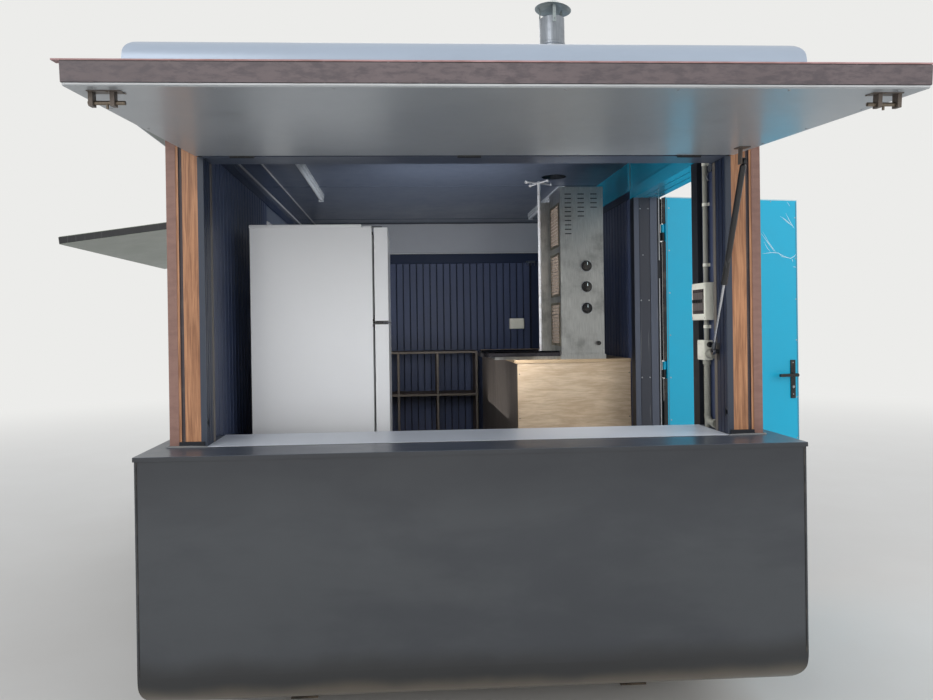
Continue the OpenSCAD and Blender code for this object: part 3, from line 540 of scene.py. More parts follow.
@dataclass(frozen=True)
class Board(Finish):
    """Boards with grain, and with drawn grooves where they are not modelled.

    Attributes:
        dark: colour of the late wood.
        contrast: strength of the grain.
        size: scale of the grain.
        pitch: distance of the grooves across X, none at zero.
        groove: width of a groove.
        grime: share of dust near the bottom.
        grime_z: lower and upper height of the dust.
        coat: weight of the varnish.
        depth: depth of the grain in metres.
        lie: direction of the grain.
        length: length of the grain's streaks, 1 for long ones.
    """

    dark: Colour
    contrast: float = 0.8
    size: float = 1.0
    pitch: float = 0.0
    groove: float = 0.004
    grime: float = 0.0
    grime_z: Span = (0.4, 0.8)
    coat: float = 0.0
    depth: float = 0.0003
    lie: Axis = Axis.Z
    length: float = 1.0

    def dress(self, skin: Surface) -> None:
        """Lays grain, board tones, grooves and dust over each other.

        Args:
            skin: the surface to dress.
        """
        tree = skin.tree
        x, y, z = tree.split()
        a, b, far = {Axis.X: (y, z, x), Axis.Y: (z, x, y), Axis.Z: (x, y, z)}[self.lie]
        where = tree.node("CombineXYZ", None, X=a, Y=b, Z=tree.div(far, self.length)).outputs[0]
        values = {"Light": self.colour, "Dark": self.dark, "Size": self.size, "Contrast": self.contrast}
        made = tree.node("Group", {"node_tree": effect(Effect.GRAIN)}, Where=where, **values).outputs
        skin.colour, skin.height = made["Color"], made["Height"]
        tone = skin.lay(Effect.DRIFT, Amount=0.16)["Mask"]
        skin.rough = tree.fit(tone, 0.3, 0.7, self.rough * 0.85, min(1.0, self.rough * 1.15))
        if self.pitch:
            self.grooves(skin)
        if self.grime:
            low, high = self.grime_z
            skin.lay(Effect.GRIME, 0.25, Bottom=low, Top=high, Amount=self.grime)
        skin.close(self.depth, Coat_Weight=self.coat, Coat_Roughness=0.3)

    def grooves(self, skin: Surface) -> None:
        """Draws the grooves across X, and gives each board its own tone.

        Args:
            skin: the surface that takes them.
        """
        tree = skin.tree
        turns = tree.div(tree.split()[0], self.pitch)
        near = tree.calc("ABSOLUTE", tree.sub(tree.calc("FRACT", turns), 0.5))
        mask = tree.sub(1.0, tree.div(near, self.groove / (self.pitch * 2.0)), True)
        number = tree.calc("FLOOR", tree.add(turns, 0.5))
        board = tree.node("TexWhiteNoise", {"noise_dimensions": "1D"}, W=number).outputs["Value"]
        skin.colour = tree.shade(skin.colour, tree.add(0.9, tree.mul(board, 0.2)))
        skin.colour = tree.blend(tree.mul(mask, 0.85), skin.colour, dim(self.dark, 0.12))
        skin.lift(mask, -8.0)


@dataclass(frozen=True)
class Bare(Finish):
    """Bare brushed or cast metal.

    Attributes:
        brush: stretch of the brush marks along X, Y and Z; a small number is a long mark.
        stain: amount of grey stains.
        rust: amount of rust.
        depth: depth of the brush marks in metres.
    """

    brush: Point = (1.0, 1.0, 0.03)
    stain: float = 0.4
    rust: float = 0.0
    depth: float = 0.00008

    def dress(self, skin: Surface) -> None:
        """Lays brush marks, stains and rust over each other.

        Args:
            skin: the surface to dress.
        """
        tree, metal = skin.tree, 1.0
        marks = skin.height = tree.noise(tree.place(self.brush), 340.0, 3.0, 0.6)
        stain = tree.mul(tree.fit(tree.noise(tree.place(), 5.0, 5.0, 0.65), 0.45, 0.7), self.stain)
        tone = tree.blend(tree.fit(marks, 0.3, 0.7), self.colour, dim(self.colour, 0.78))
        skin.colour = tree.blend(stain, tone, dim(self.colour, 0.45))
        dull = tree.add(self.rough, tree.mul(stain, 0.3))
        skin.rough = tree.add(dull, tree.mul(tree.sub(marks, 0.5), 0.2), True)
        if self.rust:
            bloom = skin.lay(Effect.RUST, 0.4, Amount=self.rust, Size=0.6)
            metal = tree.sub(1.0, bloom["Mask"], True)
        skin.close(self.depth, Metallic=metal)


@dataclass(frozen=True)
class Moulded(Finish):
    """Plastic, rubber or sealant with a fine grain.

    Attributes:
        dust: amount of dust in the slow patches.
        depth: depth of the surface grain in metres.
    """

    dust: float = 0.25
    depth: float = 0.00005

    def dress(self, skin: Surface) -> None:
        """Lays tone and dust over the grain.

        Args:
            skin: the surface to dress.
        """
        tree = skin.tree
        skin.lay(Effect.DRIFT, Amount=0.12, Size=0.6)
        dust = tree.mul(tree.fit(tree.noise(tree.place(), 14.0, 5.0, 0.7), 0.45, 0.75), self.dust)
        skin.colour = tree.blend(dust, skin.colour, srgb(140, 132, 120))
        skin.rough = tree.add(tree.mul(dust, 0.4), self.rough, True)
        skin.height = tree.noise(tree.place(), 900.0, 2.0, 0.6)
        skin.close(self.depth)


# -------------------------------------------------------------------- shapes


def facing(at: Point, way: Point) -> Matrix:
    """Placing that brings the origin to a point and Z to a direction."""
    return Matrix.Translation(Vector(at)) @ Vector(way).to_track_quat("Z", "Y").to_matrix().to_4x4()


def around(degrees: float) -> Span:
    """Cosine and sine of an angle."""
    return math.cos(math.radians(degrees)), math.sin(math.radians(degrees))


def new_verts(made: dict) -> list:
    """The vertices in what an operator made."""
    return [g for g in made["geom"] if isinstance(g, bmesh.types.BMVert)]


_pieces: list[str] = []


class Shape:
    """A mesh under construction, shaped with bmesh operators in the kiosk's frame."""

    def __init__(self) -> None:
        """Starts empty."""
        self.bm = bmesh.new()

    def fresh(self, before: set) -> list:
        """The vertices that were not there before."""
        return [v for v in self.bm.verts if v not in before]

    def bevel(self, edges: Iterable, width: float, steps: int) -> None:
        """Bevels some edges."""
        how = {"offset_type": "OFFSET", "profile": 0.5, "affect": "EDGES", "material": -1}
        bmesh.ops.bevel(self.bm, geom=list(edges), offset=width, segments=steps, **how)

    def box(self, low: Point, high: Point, edge: float = 0.0008, steps: int = 1) -> list:
        """Adds a block with bevelled edges.

        Args:
            low: lowest corner.
            high: highest corner.
            edge: width of the bevel.
            steps: segments of the bevel.

        Returns:
            The block's vertices.
        """
        before, lo, hi = set(self.bm.verts), Vector(low), Vector(high)
        matrix = Matrix.LocRotScale((lo + hi) / 2, None, hi - lo)
        verts = bmesh.ops.create_cube(self.bm, size=1.0, matrix=matrix)["verts"]
        if edge:
            self.bevel({e for v in verts for e in v.link_edges}, edge, steps)
        return self.fresh(before)

    def boxes(self, edge: float, *rows: Sequence[float]) -> None:
        """Adds blocks with one bevel, each from a row with its lowest and its highest corner."""
        for row in rows:
            self.box(row[:3], row[3:], edge)

    def flat(self, axis: Axis, face: float, proud: float, span: Span, z: Span, edge: float = 0.0012) -> None:
        """Adds a block that stands proud of a wall's face, over a span along the axis and in height."""
        ends = zip(span, sorted((face, face + proud)), z)
        self.box(*[(a, b, c) if axis is Axis.X else (b, a, c) for a, b, c in ends], edge)

    def flats(self, *rows: tuple) -> None:
        """Adds a flat block from each row of values."""
        for row in rows:
            self.flat(*row)

    def pair(self, low: Point, high: Point, edge: float) -> None:
        """Adds a block and its mirror image across the cabin."""
        self.box(low, high, edge)
        self.box((-high[0], *low[1:]), (-low[0], *high[1:]), edge)

    def frame(self, x: Span, y: Span, z: Span, width: float, edge: float) -> None:
        """Adds an upright frame of four blocks that faces across the cabin.

        Args:
            x: from and to through its thickness.
            y: from and to along it.
            z: from and to in height.
            width: width of its bars.
            edge: bevel of its bars.
        """
        (x0, x1), (y0, y1), low, high = x, y, z[0] + width, z[1] - width
        self.boxes(edge, (x0, y0, z[0], x1, y1, low), (x0, y0, high, x1, y1, z[1]),
                   (x0, y0, low, x1, y0 + width, high), (x0, y1 - width, low, x1, y1, high))

    def rod(self, a: Point, b: Point, r: float, sides: int = 12, edge: float = 0.0) -> list:
        """Adds a rod between two points.

        Args:
            a: start of the middle line.
            b: end of the middle line.
            r: radius.
            sides: number of sides.
            edge: bevel of both rims.

        Returns:
            The rod's vertices.
        """
        before, way = set(self.bm.verts), Vector(b) - Vector(a)
        size = {"segments": sides, "radius1": r, "radius2": r, "depth": way.length}
        matrix = facing((Vector(a) + Vector(b)) / 2, way)
        verts = bmesh.ops.create_cone(self.bm, cap_ends=True, cap_tris=False, matrix=matrix, **size)["verts"]
        if edge:
            self.bevel({e for v in verts for f in v.link_faces if len(f.verts) == sides for e in f.edges}, edge, 2)
        return self.fresh(before)

    def lathe(self, profile: Sequence[Span], centre: Point, axis: Point = (0, 0, 1), sides: int = 24,
              closed: bool = False) -> list:
        """Adds a turned shape.

        Args:
            profile: radius and height pairs, seen from the axis.
            centre: point of the axis at height zero.
            axis: direction of the axis.
            sides: number of sides.
            closed: joins the profile's end to its start, for a ring.

        Returns:
            The shape's vertices.
        """
        before = set(self.bm.verts)
        verts = [self.bm.verts.new((r, 0.0, z)) for r, z in profile]
        pairs = list(zip(verts, verts[1:])) + ([(verts[-1], verts[0])] if closed else [])
        edges = [self.bm.edges.new(pair) for pair in pairs]
        turn = {"cent": (0, 0, 0), "axis": (0, 0, 1), "angle": math.tau, "steps": sides}
        bmesh.ops.spin(self.bm, geom=verts + edges, use_merge=True, use_duplicate=False, **turn)
        bmesh.ops.remove_doubles(self.bm, verts=self.fresh(before), dist=1e-6)
        made = self.fresh(before)
        bmesh.ops.transform(self.bm, matrix=facing(centre, axis), verts=made)
        return made

    def tube(self, points: Iterable[Point], radii: float | Sequence[float], sides: int = 10) -> None:
        """Adds a round tube along a path, with closed ends.

        Args:
            points: points of the middle line.
            radii: one radius, or one for each point.
            sides: number of sides.
        """
        line = [Vector(p) for p in points]
        size = [radii] * len(line) if isinstance(radii, float) else radii
        steps = [(b - a).normalized() for a, b in zip(line, line[1:])]
        ways = [(a + b).normalized() for a, b in zip(steps[:1] + steps, steps + steps[-1:])]
        turn = ways[0].to_track_quat("Z", "Y")
        here = Matrix.LocRotScale(line[0], turn, Vector((size[0],) * 3))
        ring = bmesh.ops.create_circle(self.bm, cap_ends=False, radius=1.0, segments=sides, matrix=here)["verts"]
        first = loop = list({e for v in ring for e in v.link_edges if e.other_vert(v) in ring})
        for k in range(1, len(line)):
            turn = ways[k - 1].rotation_difference(ways[k]) @ turn
            there = Matrix.LocRotScale(line[k], turn, Vector((size[k],) * 3))
            made = bmesh.ops.extrude_edge_only(self.bm, edges=loop)
            verts = set(new_verts(made))
            bmesh.ops.transform(self.bm, matrix=there @ here.inverted(), verts=list(verts))
            loop = [g for g in made["geom"] if isinstance(g, bmesh.types.BMEdge) and verts.issuperset(g.verts)]
            here = there
        for end in (first, loop):
            bmesh.ops.contextual_create(self.bm, geom=end)

    def dome(self, centre: Point, axis: Point, r: float, high: float, sides: int = 10) -> list:
        """Adds a low domed head that stands on a surface."""
        rise = [(0.0, high), (r * 0.5, high * 0.86), (r * 0.86, high * 0.5)]
        return self.lathe(rise + [(r, 0.0), (r * 0.9, -0.0006), (0.0, -0.0006)], centre, axis, sides)

    def heads(self, start: Point, step: Point, count: int, axis: Point, r: float, high: float, sides: int = 10) -> None:
        """Adds a row of domed heads, a step apart."""
        self.repeat(self.dome(start, axis, r, high, sides), count, step)

    def prism(self, outline: Sequence[Point], along: Point) -> None:
        """Adds the solid that a flat outline sweeps along a vector.

        Args:
            outline: corners of the outline, in order.
            along: vector of the sweep.
        """
        face = self.bm.faces.new([self.bm.verts.new(Vector(p)) for p in outline])
        made = bmesh.ops.extrude_face_region(self.bm, geom=[face], use_keep_orig=True)
        bmesh.ops.translate(self.bm, vec=Vector(along), verts=new_verts(made))

    def repeat(self, verts: Iterable, count: int, step: Point) -> None:
        """Adds copies of some vertices and all that hangs on them.

        Args:
            verts: vertices of the first one.
            count: number in all, the first one included.
            step: distance from one to the next.
        """
        chosen = set(verts)
        geom = [*chosen, *{e for v in chosen for e in v.link_edges}, *{f for v in chosen for f in v.link_faces}]
        for k in range(1, count):
            made = bmesh.ops.duplicate(self.bm, geom=geom)
            bmesh.ops.translate(self.bm, vec=Vector(step) * k, verts=new_verts(made))

    def piece(self, name: str, finish: Finish, slot: str, body: str = BODY, place: Matrix | None = None) -> None:
        """Turns the shape into a finished object at the origin.

        Args:
            name: name of the piece.
            finish: its finish.
            slot: the record's material slot; not used.
            body: CAD body that it rides on.
            place: placing of the shape's own frame.
        """
        if place:
            bmesh.ops.transform(self.bm, matrix=place, verts=list(self.bm.verts))
        bmesh.ops.recalc_face_normals(self.bm, faces=self.bm.faces[:])
        for face in self.bm.faces:
            face.smooth = True
        for edge in self.bm.edges:
            if len(edge.link_faces) == 2 and edge.calc_face_angle(0.0) > SMOOTH:
                edge.smooth = False
        mesh = bpy.data.meshes.new(name)
        self.bm.to_mesh(mesh)
        self.bm.free()
        made = bpy.data.objects.new(name, mesh)
        mesh.materials.append(finish.material())
        bpy.context.scene.collection.objects.link(made)
        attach(made, body)
        _pieces.append(name)


def shapes(count: int) -> list[Shape]:
    """Some empty shapes."""
    return [Shape() for _ in range(count)]


# ------------------------------------------------------------------- palette


class Palette:
    """The kiosk's finishes."""

    # Skirt bands are painted light and shade: darker towards the top is the flap's painted shadow, the dark low band is
    # painted shade where the sheet curves under, and the brown rim is the ground's painted reflection.
    skirt = Coated(
        "charcoal_skirt", srgb(64, 67, 71), 0.34, metal=0.1, drift=0.06, coat=0.2, dents=0.0008,
        mottle=0.55, mottle_colour=srgb(48, 51, 57), mottle_size=9.0,
        bands=((0.76, 1.08, srgb(38, 40, 45), 0.6), (0.40, 0.31, srgb(36, 36, 36), 0.75),
               (0.29, 0.215, srgb(104, 95, 81), 0.7)))
    counter = Coated("counter_dark", srgb(84, 90, 101), 0.34, metal=0.2, drift=0.08, coat=0.1, dents=0.0003)
    worktop = Coated("counter_pale_sheet", srgb(222, 227, 236), 0.36, metal=0.1, drift=0.05, dents=0.0003)
    black = Coated("black_steel", srgb(30, 31, 34), 0.42, metal=0.1, drift=0.2, rust=0.14, rust_size=0.5,
                   scratches=0.2, grime=0.7, grime_z=(0.0, 0.38))
    post = Coated("black_post", srgb(24, 27, 34), 0.5, drift=0.2, rust=0.05, rust_size=0.35)
    hollow = Coated("dark_wall_core", srgb(20, 24, 33), 0.6, drift=0.15, grime=0.3, grime_z=(0.4, 0.9))
    boards = Board("dark_boards", srgb(58, 68, 95), 0.4, srgb(46, 56, 80), contrast=0.35, size=1.6,
                   grime=0.15, grime_z=(0.4, 1.0), coat=0.1, depth=0.00005)
    rail = Coated("dark_rail", srgb(26, 36, 58), 0.4, specks=0.03)
    deck = Board("deck_boards", srgb(112, 98, 84), 0.62, srgb(70, 58, 48), contrast=0.9, size=1.6,
                 pitch=0.14, grime=0.6, grime_z=(0.3, 0.6), lie=Axis.Y)
    siding = Board("wood_siding", srgb(188, 136, 98), 0.42, srgb(122, 78, 50), contrast=0.9, size=0.55,
                   coat=0.1, depth=0.0002, grime=0.1, grime_z=(1.0, 1.5))
    maroon = Coated("maroon_trim", srgb(136, 104, 94), 0.42, drift=0.14, mottle=0.35,
                    mottle_colour=srgb(108, 78, 70))
    blue_trim = Coated("blue_grey_trim", srgb(54, 61, 74), 0.42, drift=0.1, rust=0.03)
    teal = Coated("teal_band", srgb(32, 156, 192), 0.22, metal=0.1, drift=0.04, coat=0.3)
    teal_dull = Coated("teal_joint", srgb(70, 130, 150), 0.34, drift=0.1, scratches=0.2)
    door = Coated("teal_door", srgb(0, 170, 208), 0.45, drift=0.03, coat=0.1, dents=0.0005, grime=0.12,
                  grime_z=(0.4, 0.8))
    door_pale = Coated("door_edge_pale", srgb(190, 216, 220), 0.4, metal=0.3, drift=0.1, scratches=0.3,
                       grime=0.3, grime_z=(0.4, 1.0))
    scratch = Moulded("white_marks", srgb(222, 240, 244), 0.6, 0.05)
    roof = Coated("roof_blue_grey", srgb(166, 178, 194), 0.34, metal=0.3, drift=0.04, coat=0.15, dents=0.0012)
    # Soffit: grey coat, its green tint a painted reflection of greenery.
    soffit = Coated("soffit_green_grey", srgb(112, 122, 120), 0.33, metal=0.3, drift=0.05, coat=0.1)
    ceiling = Coated("ceiling_grey", srgb(76, 84, 99), 0.36, drift=0.03, coat=0.1, dents=0.0002)
    ceiling_dark = Coated("ceiling_joint", srgb(66, 74, 88), 0.36, drift=0.05)
    band = Coated("band_grey", srgb(146, 150, 158), 0.34, metal=0.1, drift=0.05, coat=0.1, dents=0.0003)
    night = Coated("band_night_blue", srgb(38, 50, 74), 0.2, metal=0.2, drift=0.08, coat=0.4, dents=0.0008)
    pale_edge = Coated("pale_edge", srgb(176, 178, 180), 0.4, metal=0.3, drift=0.16, specks=0.1, scratches=0.3)
    lamp = Moulded("lamp_white", srgb(176, 182, 190), 0.3, 0.15)
    flue = Bare("galvanised_sheet", srgb(158, 164, 172), 0.38, stain=0.5, rust=0.08)
    cap = Coated("rain_cap_sheet", srgb(168, 178, 178), 0.36, metal=0.4, drift=0.25, mottle=0.4,
                 mottle_colour=srgb(120, 126, 124))
    box = Moulded("box_grey", srgb(226, 225, 212), 0.42, 0.12)
    breaker = Moulded("breaker_grey", srgb(92, 84, 82), 0.4, 0.2)
    conduit = Moulded("conduit_grey", srgb(150, 150, 140), 0.5, 0.3)
    flap = Coated("flap_grey", srgb(166, 171, 176), 0.34, metal=0.25, drift=0.03, coat=0.1)
    # Left flap: grey sheets, their green tint a painted reflection of greenery.
    left_flap = Coated("left_flap_green_grey", srgb(124, 132, 120), 0.34, metal=0.3, drift=0.05, coat=0.1)
    fascia = Coated("rusty_fascia", srgb(98, 88, 90), 0.5, metal=0.1, drift=0.2, mottle=0.75,
                    mottle_colour=srgb(76, 70, 74), mottle_size=0.5, rust=0.05, rust_size=0.3)
    cylinder = Coated("strut_black", srgb(24, 24, 26), 0.34, drift=0.1, scratches=0.3, coat=0.3)
    bright = Bare("bright_rod", srgb(214, 216, 220), 0.16, stain=0.2, depth=0.00003)
    spit = Coated("spit_steel", srgb(196, 198, 202), 0.33, metal=0.5, drift=0.2, mottle=0.3,
                  mottle_colour=srgb(140, 130, 116))
    bolt = Bare("worn_bolt", srgb(140, 128, 114), 0.4, stain=0.6, rust=0.45)
    handle = Moulded("handle_black", srgb(24, 24, 26), 0.3, 0.12)
    fitting = Coated("worn_fittings", srgb(98, 89, 82), 0.46, metal=0.3, drift=0.2, rust=0.2, rust_size=0.3)
    knob = Moulded("knob_black", srgb(20, 20, 22), 0.28, 0.2)
    ply = Board("pale_plywood", srgb(206, 182, 150), 0.5, srgb(162, 132, 98), size=2.2, grime=0.15, coat=0.08)
    ply_flat = Board("plywood_face", srgb(218, 197, 170), 0.5, srgb(178, 152, 122), contrast=0.75, size=1.2,
                     length=0.3, grime=0.15, grime_z=(0.4, 0.7), coat=0.08, lie=Axis.X)
    ply_edge = Board("plywood_edge", srgb(98, 91, 84), 0.5, srgb(78, 72, 66), contrast=0.6, lie=Axis.X)
    top_edge = Board("worktop_edge", srgb(196, 172, 140), 0.5, srgb(150, 124, 94), contrast=0.6, lie=Axis.X)
    # Cabinet side boards: their dark tone paints the shade on the cabinet's side; their grain and dust are real.
    shaded_ply = Board("dark_side_board", srgb(84, 77, 71), 0.45, srgb(62, 56, 52), contrast=0.7, size=1.8,
                     grime=0.25, coat=0.05)
    shelf = Board("brown_boards", srgb(92, 78, 66), 0.5, srgb(62, 50, 40), size=1.4, grime=0.2,
                  grime_z=(0.4, 1.0), lie=Axis.X)
    stainless = Bare("brushed_stainless", srgb(216, 216, 212), 0.38, (1, 1, 0.04), 0.65)
    greasy = Bare("greasy_stainless", srgb(168, 158, 138), 0.4, (0.05, 1, 1), 0.8)
    pan = Bare("sooty_pan", srgb(74, 72, 76), 0.24, (1, 1, 1), 0.7)
    enamel = Coated("white_enamel", srgb(238, 239, 241), 0.33, drift=0.01, grime=0.1, grime_z=(0.4, 0.7),
                    coat=0.2)
    cool_plastic = Moulded("cool_grey_plastic", srgb(206, 208, 212), 0.4, 0.1)
    frame_grey = Coated("frame_grey", srgb(80, 86, 100), 0.36, metal=0.1, drift=0.08, scratches=0.2)
    frame_dark = Coated("frame_channel", srgb(58, 61, 70), 0.4, metal=0.1, drift=0.1, scratches=0.2)
    rubber = Moulded("grey_gasket", srgb(150, 152, 154), 0.6, 0.3)
    black_rubber = Moulded("black_rubber", srgb(26, 26, 27), 0.6)
    caulk = Moulded("grey_caulk", srgb(120, 122, 124), 0.5, 0.4)
    zinc = Bare("zinc_screws", srgb(196, 198, 202), 0.34, (1, 1, 1))
    zinc_dull = Bare("dull_zinc", srgb(120, 124, 130), 0.42, (1, 1, 1), 0.6)
    smoked = Moulded("smoked_window", srgb(66, 58, 56), 0.12, 0.1)
    # Burner tiles: grey-beige ceramic, darkened in part as painted shade of the column's side face.
    ceramic = Moulded("burner_ceramic", srgb(112, 100, 90), 0.8, 0.3)
    groove = Moulded("dark_groove", srgb(70, 62, 66), 0.6, 0.2)
    worn = Coated("worn_edge", srgb(106, 100, 94), 0.45, metal=0.2, drift=0.3, rust=0.06, rust_size=0.3)
    rust_line = Coated("rusty_top_edge", srgb(162, 128, 128), 0.55, drift=0.3, mottle=0.5,
                       mottle_colour=srgb(122, 86, 78))


NODE_FINISHES = (
    (Palette.skirt, "front_skirt left_skirt right_skirt rear_skirt"),
    (Palette.counter, "counter_top side_ledges"),
    (Palette.black, "base_frame legs roof_frame hinge_pins strut_brackets left_flap_frame front_flap_frame"),
    (Palette.post, "corner_posts door_jambs"),
    (Palette.fitting, "front_flap_fittings"),
    (Palette.hollow, "left_walls right_walls rear_wall sill_walls"),
    (Palette.ceiling, "lintels ceiling"),
    (Palette.deck, "floor_deck"),
    (Palette.siding, "post_cladding"),
    (Palette.maroon, "corner_trims"),
    (Palette.blue_trim, "opening_trims"),
    (Palette.teal, "door_head teal_band"),
    (Palette.door, "door_leaf"),
    (Palette.soffit, "soffit"),
    (Palette.roof, "roof_shell"),
    (Palette.band, "upper_bands"),
    (Palette.lamp, "ceiling_lamps"),
    (Palette.flue, "flue_pipe"),
    (Palette.cap, "flue_cap"),
    (Palette.box, "electric_boxes"),
    (Palette.conduit, "conduit"),
    (Palette.flap, "front_flap_sheets"),
    (Palette.left_flap, "left_flap_sheets"),
    (Palette.fascia, "front_flap_fascia"),
    (Palette.cylinder, "front_strut_cylinder left_strut_cylinder"),
    (Palette.bright, "front_strut_rod left_strut_rod"),
    (Palette.bolt, "left_bolt right_bolt"),
    (Palette.spit, "grill_spit"),
    (Palette.handle, "door_plates door_lever"),
    (Palette.knob, "grill_knobs"),
    (Palette.ply, "plywood_cabinet"),
    (Palette.shelf, "rear_shelves"),
    (Palette.stainless, "grill_column"),
    (Palette.enamel, "fridge_cabinet fridge_upper_door fridge_lower_door"),
)


def dress_nodes(frame: dict) -> None:
    """Gives every carried-over node its finish.
    """
    finishes = {name: finish for finish, names in NODE_FINISHES for name in names.split()}
    for name, node in frame["nodes"].items():
        node.data.materials.clear()
        node.data.materials.append(finishes[name].material())
    log.info("dressed %d nodes", len(frame["nodes"]))


# --------------------------------------------------------------------- stage


@dataclass
class Stage:
    """Camera, light, floor and backdrop; none of them belongs to the kiosk.

    Attributes:
        eye: camera's place.
        yaw: turn to the right in degrees.
        pitch: turn upwards in degrees.
        roll: turn about the view in degrees.
        focal: focal length in pixels.
        centre: offset of the picture's optical centre in pixels, right and down.
        size: picture width in pixels.
        sensor: sensor width in millimetres.
        sky: strength of the world's light.
        floor: radius of the floor.
        backdrop: tone of the backdrop.
        lamps: name, place, aim, power and width of each lamp.
        glossy: lamps that reflections show.
    """

    eye: Point = (-0.2544, -4.6451, 1.5345)
    yaw: float = 3.006
    pitch: float = -0.233
    roll: float = -0.82
    focal: float = 718.9
    centre: Span = (-23.9, -22.0)
    size: float = 933
    sensor: float = 36.0
    sky: float = 0.85
    floor: float = 40.0
    backdrop: Colour = srgb(236, 236, 234)
    lamps: tuple = (
        ("key", (-4.5, -7.5, 5.5), (0, 0, 1.2), 150.0, 5.0),
        ("front", (-0.3, -9.0, 1.9), (0, 0, 1.3), 172.0, 5.0),
        ("fill", (6.5, -5.5, 3.6), (0.4, 0, 1.2), 150.0, 5.0),
        ("rim", (1.0, 8.0, 6.0), (0, 0, 1.5), 220.0, 6.0),
        ("inside_up", (-0.05, 0.3, 0.95), (-0.05, 0.3, 3.0), 11.0, 1.1),
        ("inside_back", (0.0, -0.75, 1.8), (0.1, 1.8, 1.6), 16.0, 0.9),
        ("inside_right", (0.3, -1.45, 1.75), (1.05, -1.68, 1.65), 4.6, 0.7),
    )
    glossy: tuple[str, ...] = ("key", "rim")

    def show(self, name: str, data: bpy.types.ID) -> bpy.types.Object:
        """Puts an object of that name and data into the scene.

        Args:
            name: name of the object.
            data: what it shows.

        Returns:
            The object.
        """
        made = bpy.data.objects.new(name, data)
        bpy.context.scene.collection.objects.link(made)
        return made

    def camera(self) -> None:
        """Places the camera at the photograph's view."""
        yaw, pitch, roll = (math.radians(a) for a in (self.yaw, self.pitch, self.roll))
        ahead = Vector((math.sin(yaw) * math.cos(pitch), math.cos(yaw) * math.cos(pitch), math.sin(pitch)))
        right = Vector((math.cos(yaw), -math.sin(yaw), 0.0))
        up = right.cross(ahead)
        side = right * math.cos(roll) + up * math.sin(roll)
        top = up * math.cos(roll) - right * math.sin(roll)
        data = bpy.data.cameras.new("view")
        data.sensor_width = self.sensor
        data.lens = self.focal / self.size * self.sensor
        data.shift_x, data.shift_y = -self.centre[0] / self.size, self.centre[1] / self.size
        data.clip_start, data.clip_end = 0.05, 200.0
        made = self.show("view", data)
        turn = Matrix((side, top, -ahead)).transposed().to_4x4()
        made.matrix_world = Matrix.Translation(Vector(self.eye)) @ turn
        bpy.context.scene.camera = made

    def world(self) -> None:
        """Pale world that lights softly and shows as an even backdrop."""
        world = bpy.context.scene.world = bpy.data.worlds.new("studio")
        world.use_nodes = True
        world.node_tree.nodes.clear()
        tree = Tree(world.node_tree)
        path = tree.node("LightPath").outputs
        shown = tree.calc("MAXIMUM", path["Is Camera Ray"], path["Is Transmission Ray"])
        shown = tree.calc("MAXIMUM", shown, path["Is Glossy Ray"])
        height = tree.split(tree.node("TexCoord").outputs["Generated"])[2]
        sky = tree.blend(tree.fit(height, -0.2, 0.9), srgb(206, 204, 200), srgb(226, 232, 240))
        soft = tree.node("Background", None, Color=sky, Strength=self.sky).outputs[0]
        back = tree.node("Background", None, Color=self.backdrop, Strength=1.0).outputs[0]
        mix = tree.fill(tree.node("MixShader"), (0, 1, 2), shown, soft, back)
        tree.node("OutputWorld", None, Surface=mix.outputs[0])

    def lights(self) -> None:
        """Large studio lamps outside and a low fill inside."""
        bpy.context.scene.view_settings.view_transform = "Standard"
        for name, place, aim, power, width in self.lamps:
            data = bpy.data.lights.new(name, "AREA")
            data.energy, data.size = power, width
            made = self.show(name, data)
            made.location = place
            made.rotation_euler = (Vector(aim) - Vector(place)).to_track_quat("-Z", "Y").to_euler()
            made.visible_camera = False
            made.visible_glossy = name in self.glossy

    def ground(self) -> None:
        """Plain pale floor that keeps the kiosk's shadow."""
        bm, mesh = bmesh.new(), bpy.data.meshes.new("floor")
        bmesh.ops.create_circle(bm, cap_ends=True, radius=self.floor, segments=64)
        bm.to_mesh(mesh)
        bm.free()
        material = bpy.data.materials.new("pale_floor")
        material.use_nodes = True
        material.node_tree.nodes.clear()
        tree = Tree(material.node_tree)
        tone = tree.blend(tree.noise(tree.place(), 1.5, 5.0, 0.6), srgb(214, 211, 206), srgb(222, 220, 216))
        skin = tree.node("BsdfPrincipled", None, Base_Color=tone, Roughness=0.85).outputs[0]
        x, y, _ = tree.split()
        far = tree.calc("SQRT", tree.add(tree.mul(x, x), tree.mul(y, y)))
        seen = tree.mul(tree.node("LightPath").outputs["Is Camera Ray"], tree.fit(far, 3.0, 13.0))
        glow = tree.node("Emission", None, Color=self.backdrop, Strength=1.0).outputs[0]
        mix = tree.fill(tree.node("MixShader"), (0, 1, 2), seen, skin, glow)
        tree.node("OutputMaterial", None, Surface=mix.outputs[0])
        mesh.materials.append(material)
        made = self.show("floor", mesh)

    def build(self) -> None:
        """Makes all of the stage."""
        for step in (self.camera, self.world, self.lights, self.ground):
            step()


# ------------------------------------------------------------ sub-assemblies


@dataclass
class Cabin:
    """Sizes of the cabin that the sub-assemblies share.

    Attributes:
        out_x: outer face of the side walls.
        out_y: outer face of the end walls.
        in_x: inner face of the side walls.
        in_y: inner face of the end walls.
        post_x: inner face of the corner posts.
        post_y: rear face of the front posts, mirrored at the rear.
        counter: height of the counter.
        floor: height of the floor.
        wall_top: height at which the walls end.
        ceiling: height of the ceiling.
        near_jamb: near jamb of the doorway, from and to along Y.
        far_jamb: far jamb of the doorway, from and to along Y.
    """

    out_x: float = 1.138
    out_y: float = 1.900
    in_x: float = 1.040
    in_y: float = 1.802
    post_x: float = 1.004
    post_y: float = 1.780
    counter: float = 1.090
    floor: float = 0.400
    wall_top: float = 2.280
    ceiling: float = 2.450
    near_jamb: Span = (-1.605, -1.545)
    far_jamb: Span = (-0.745, -0.685)


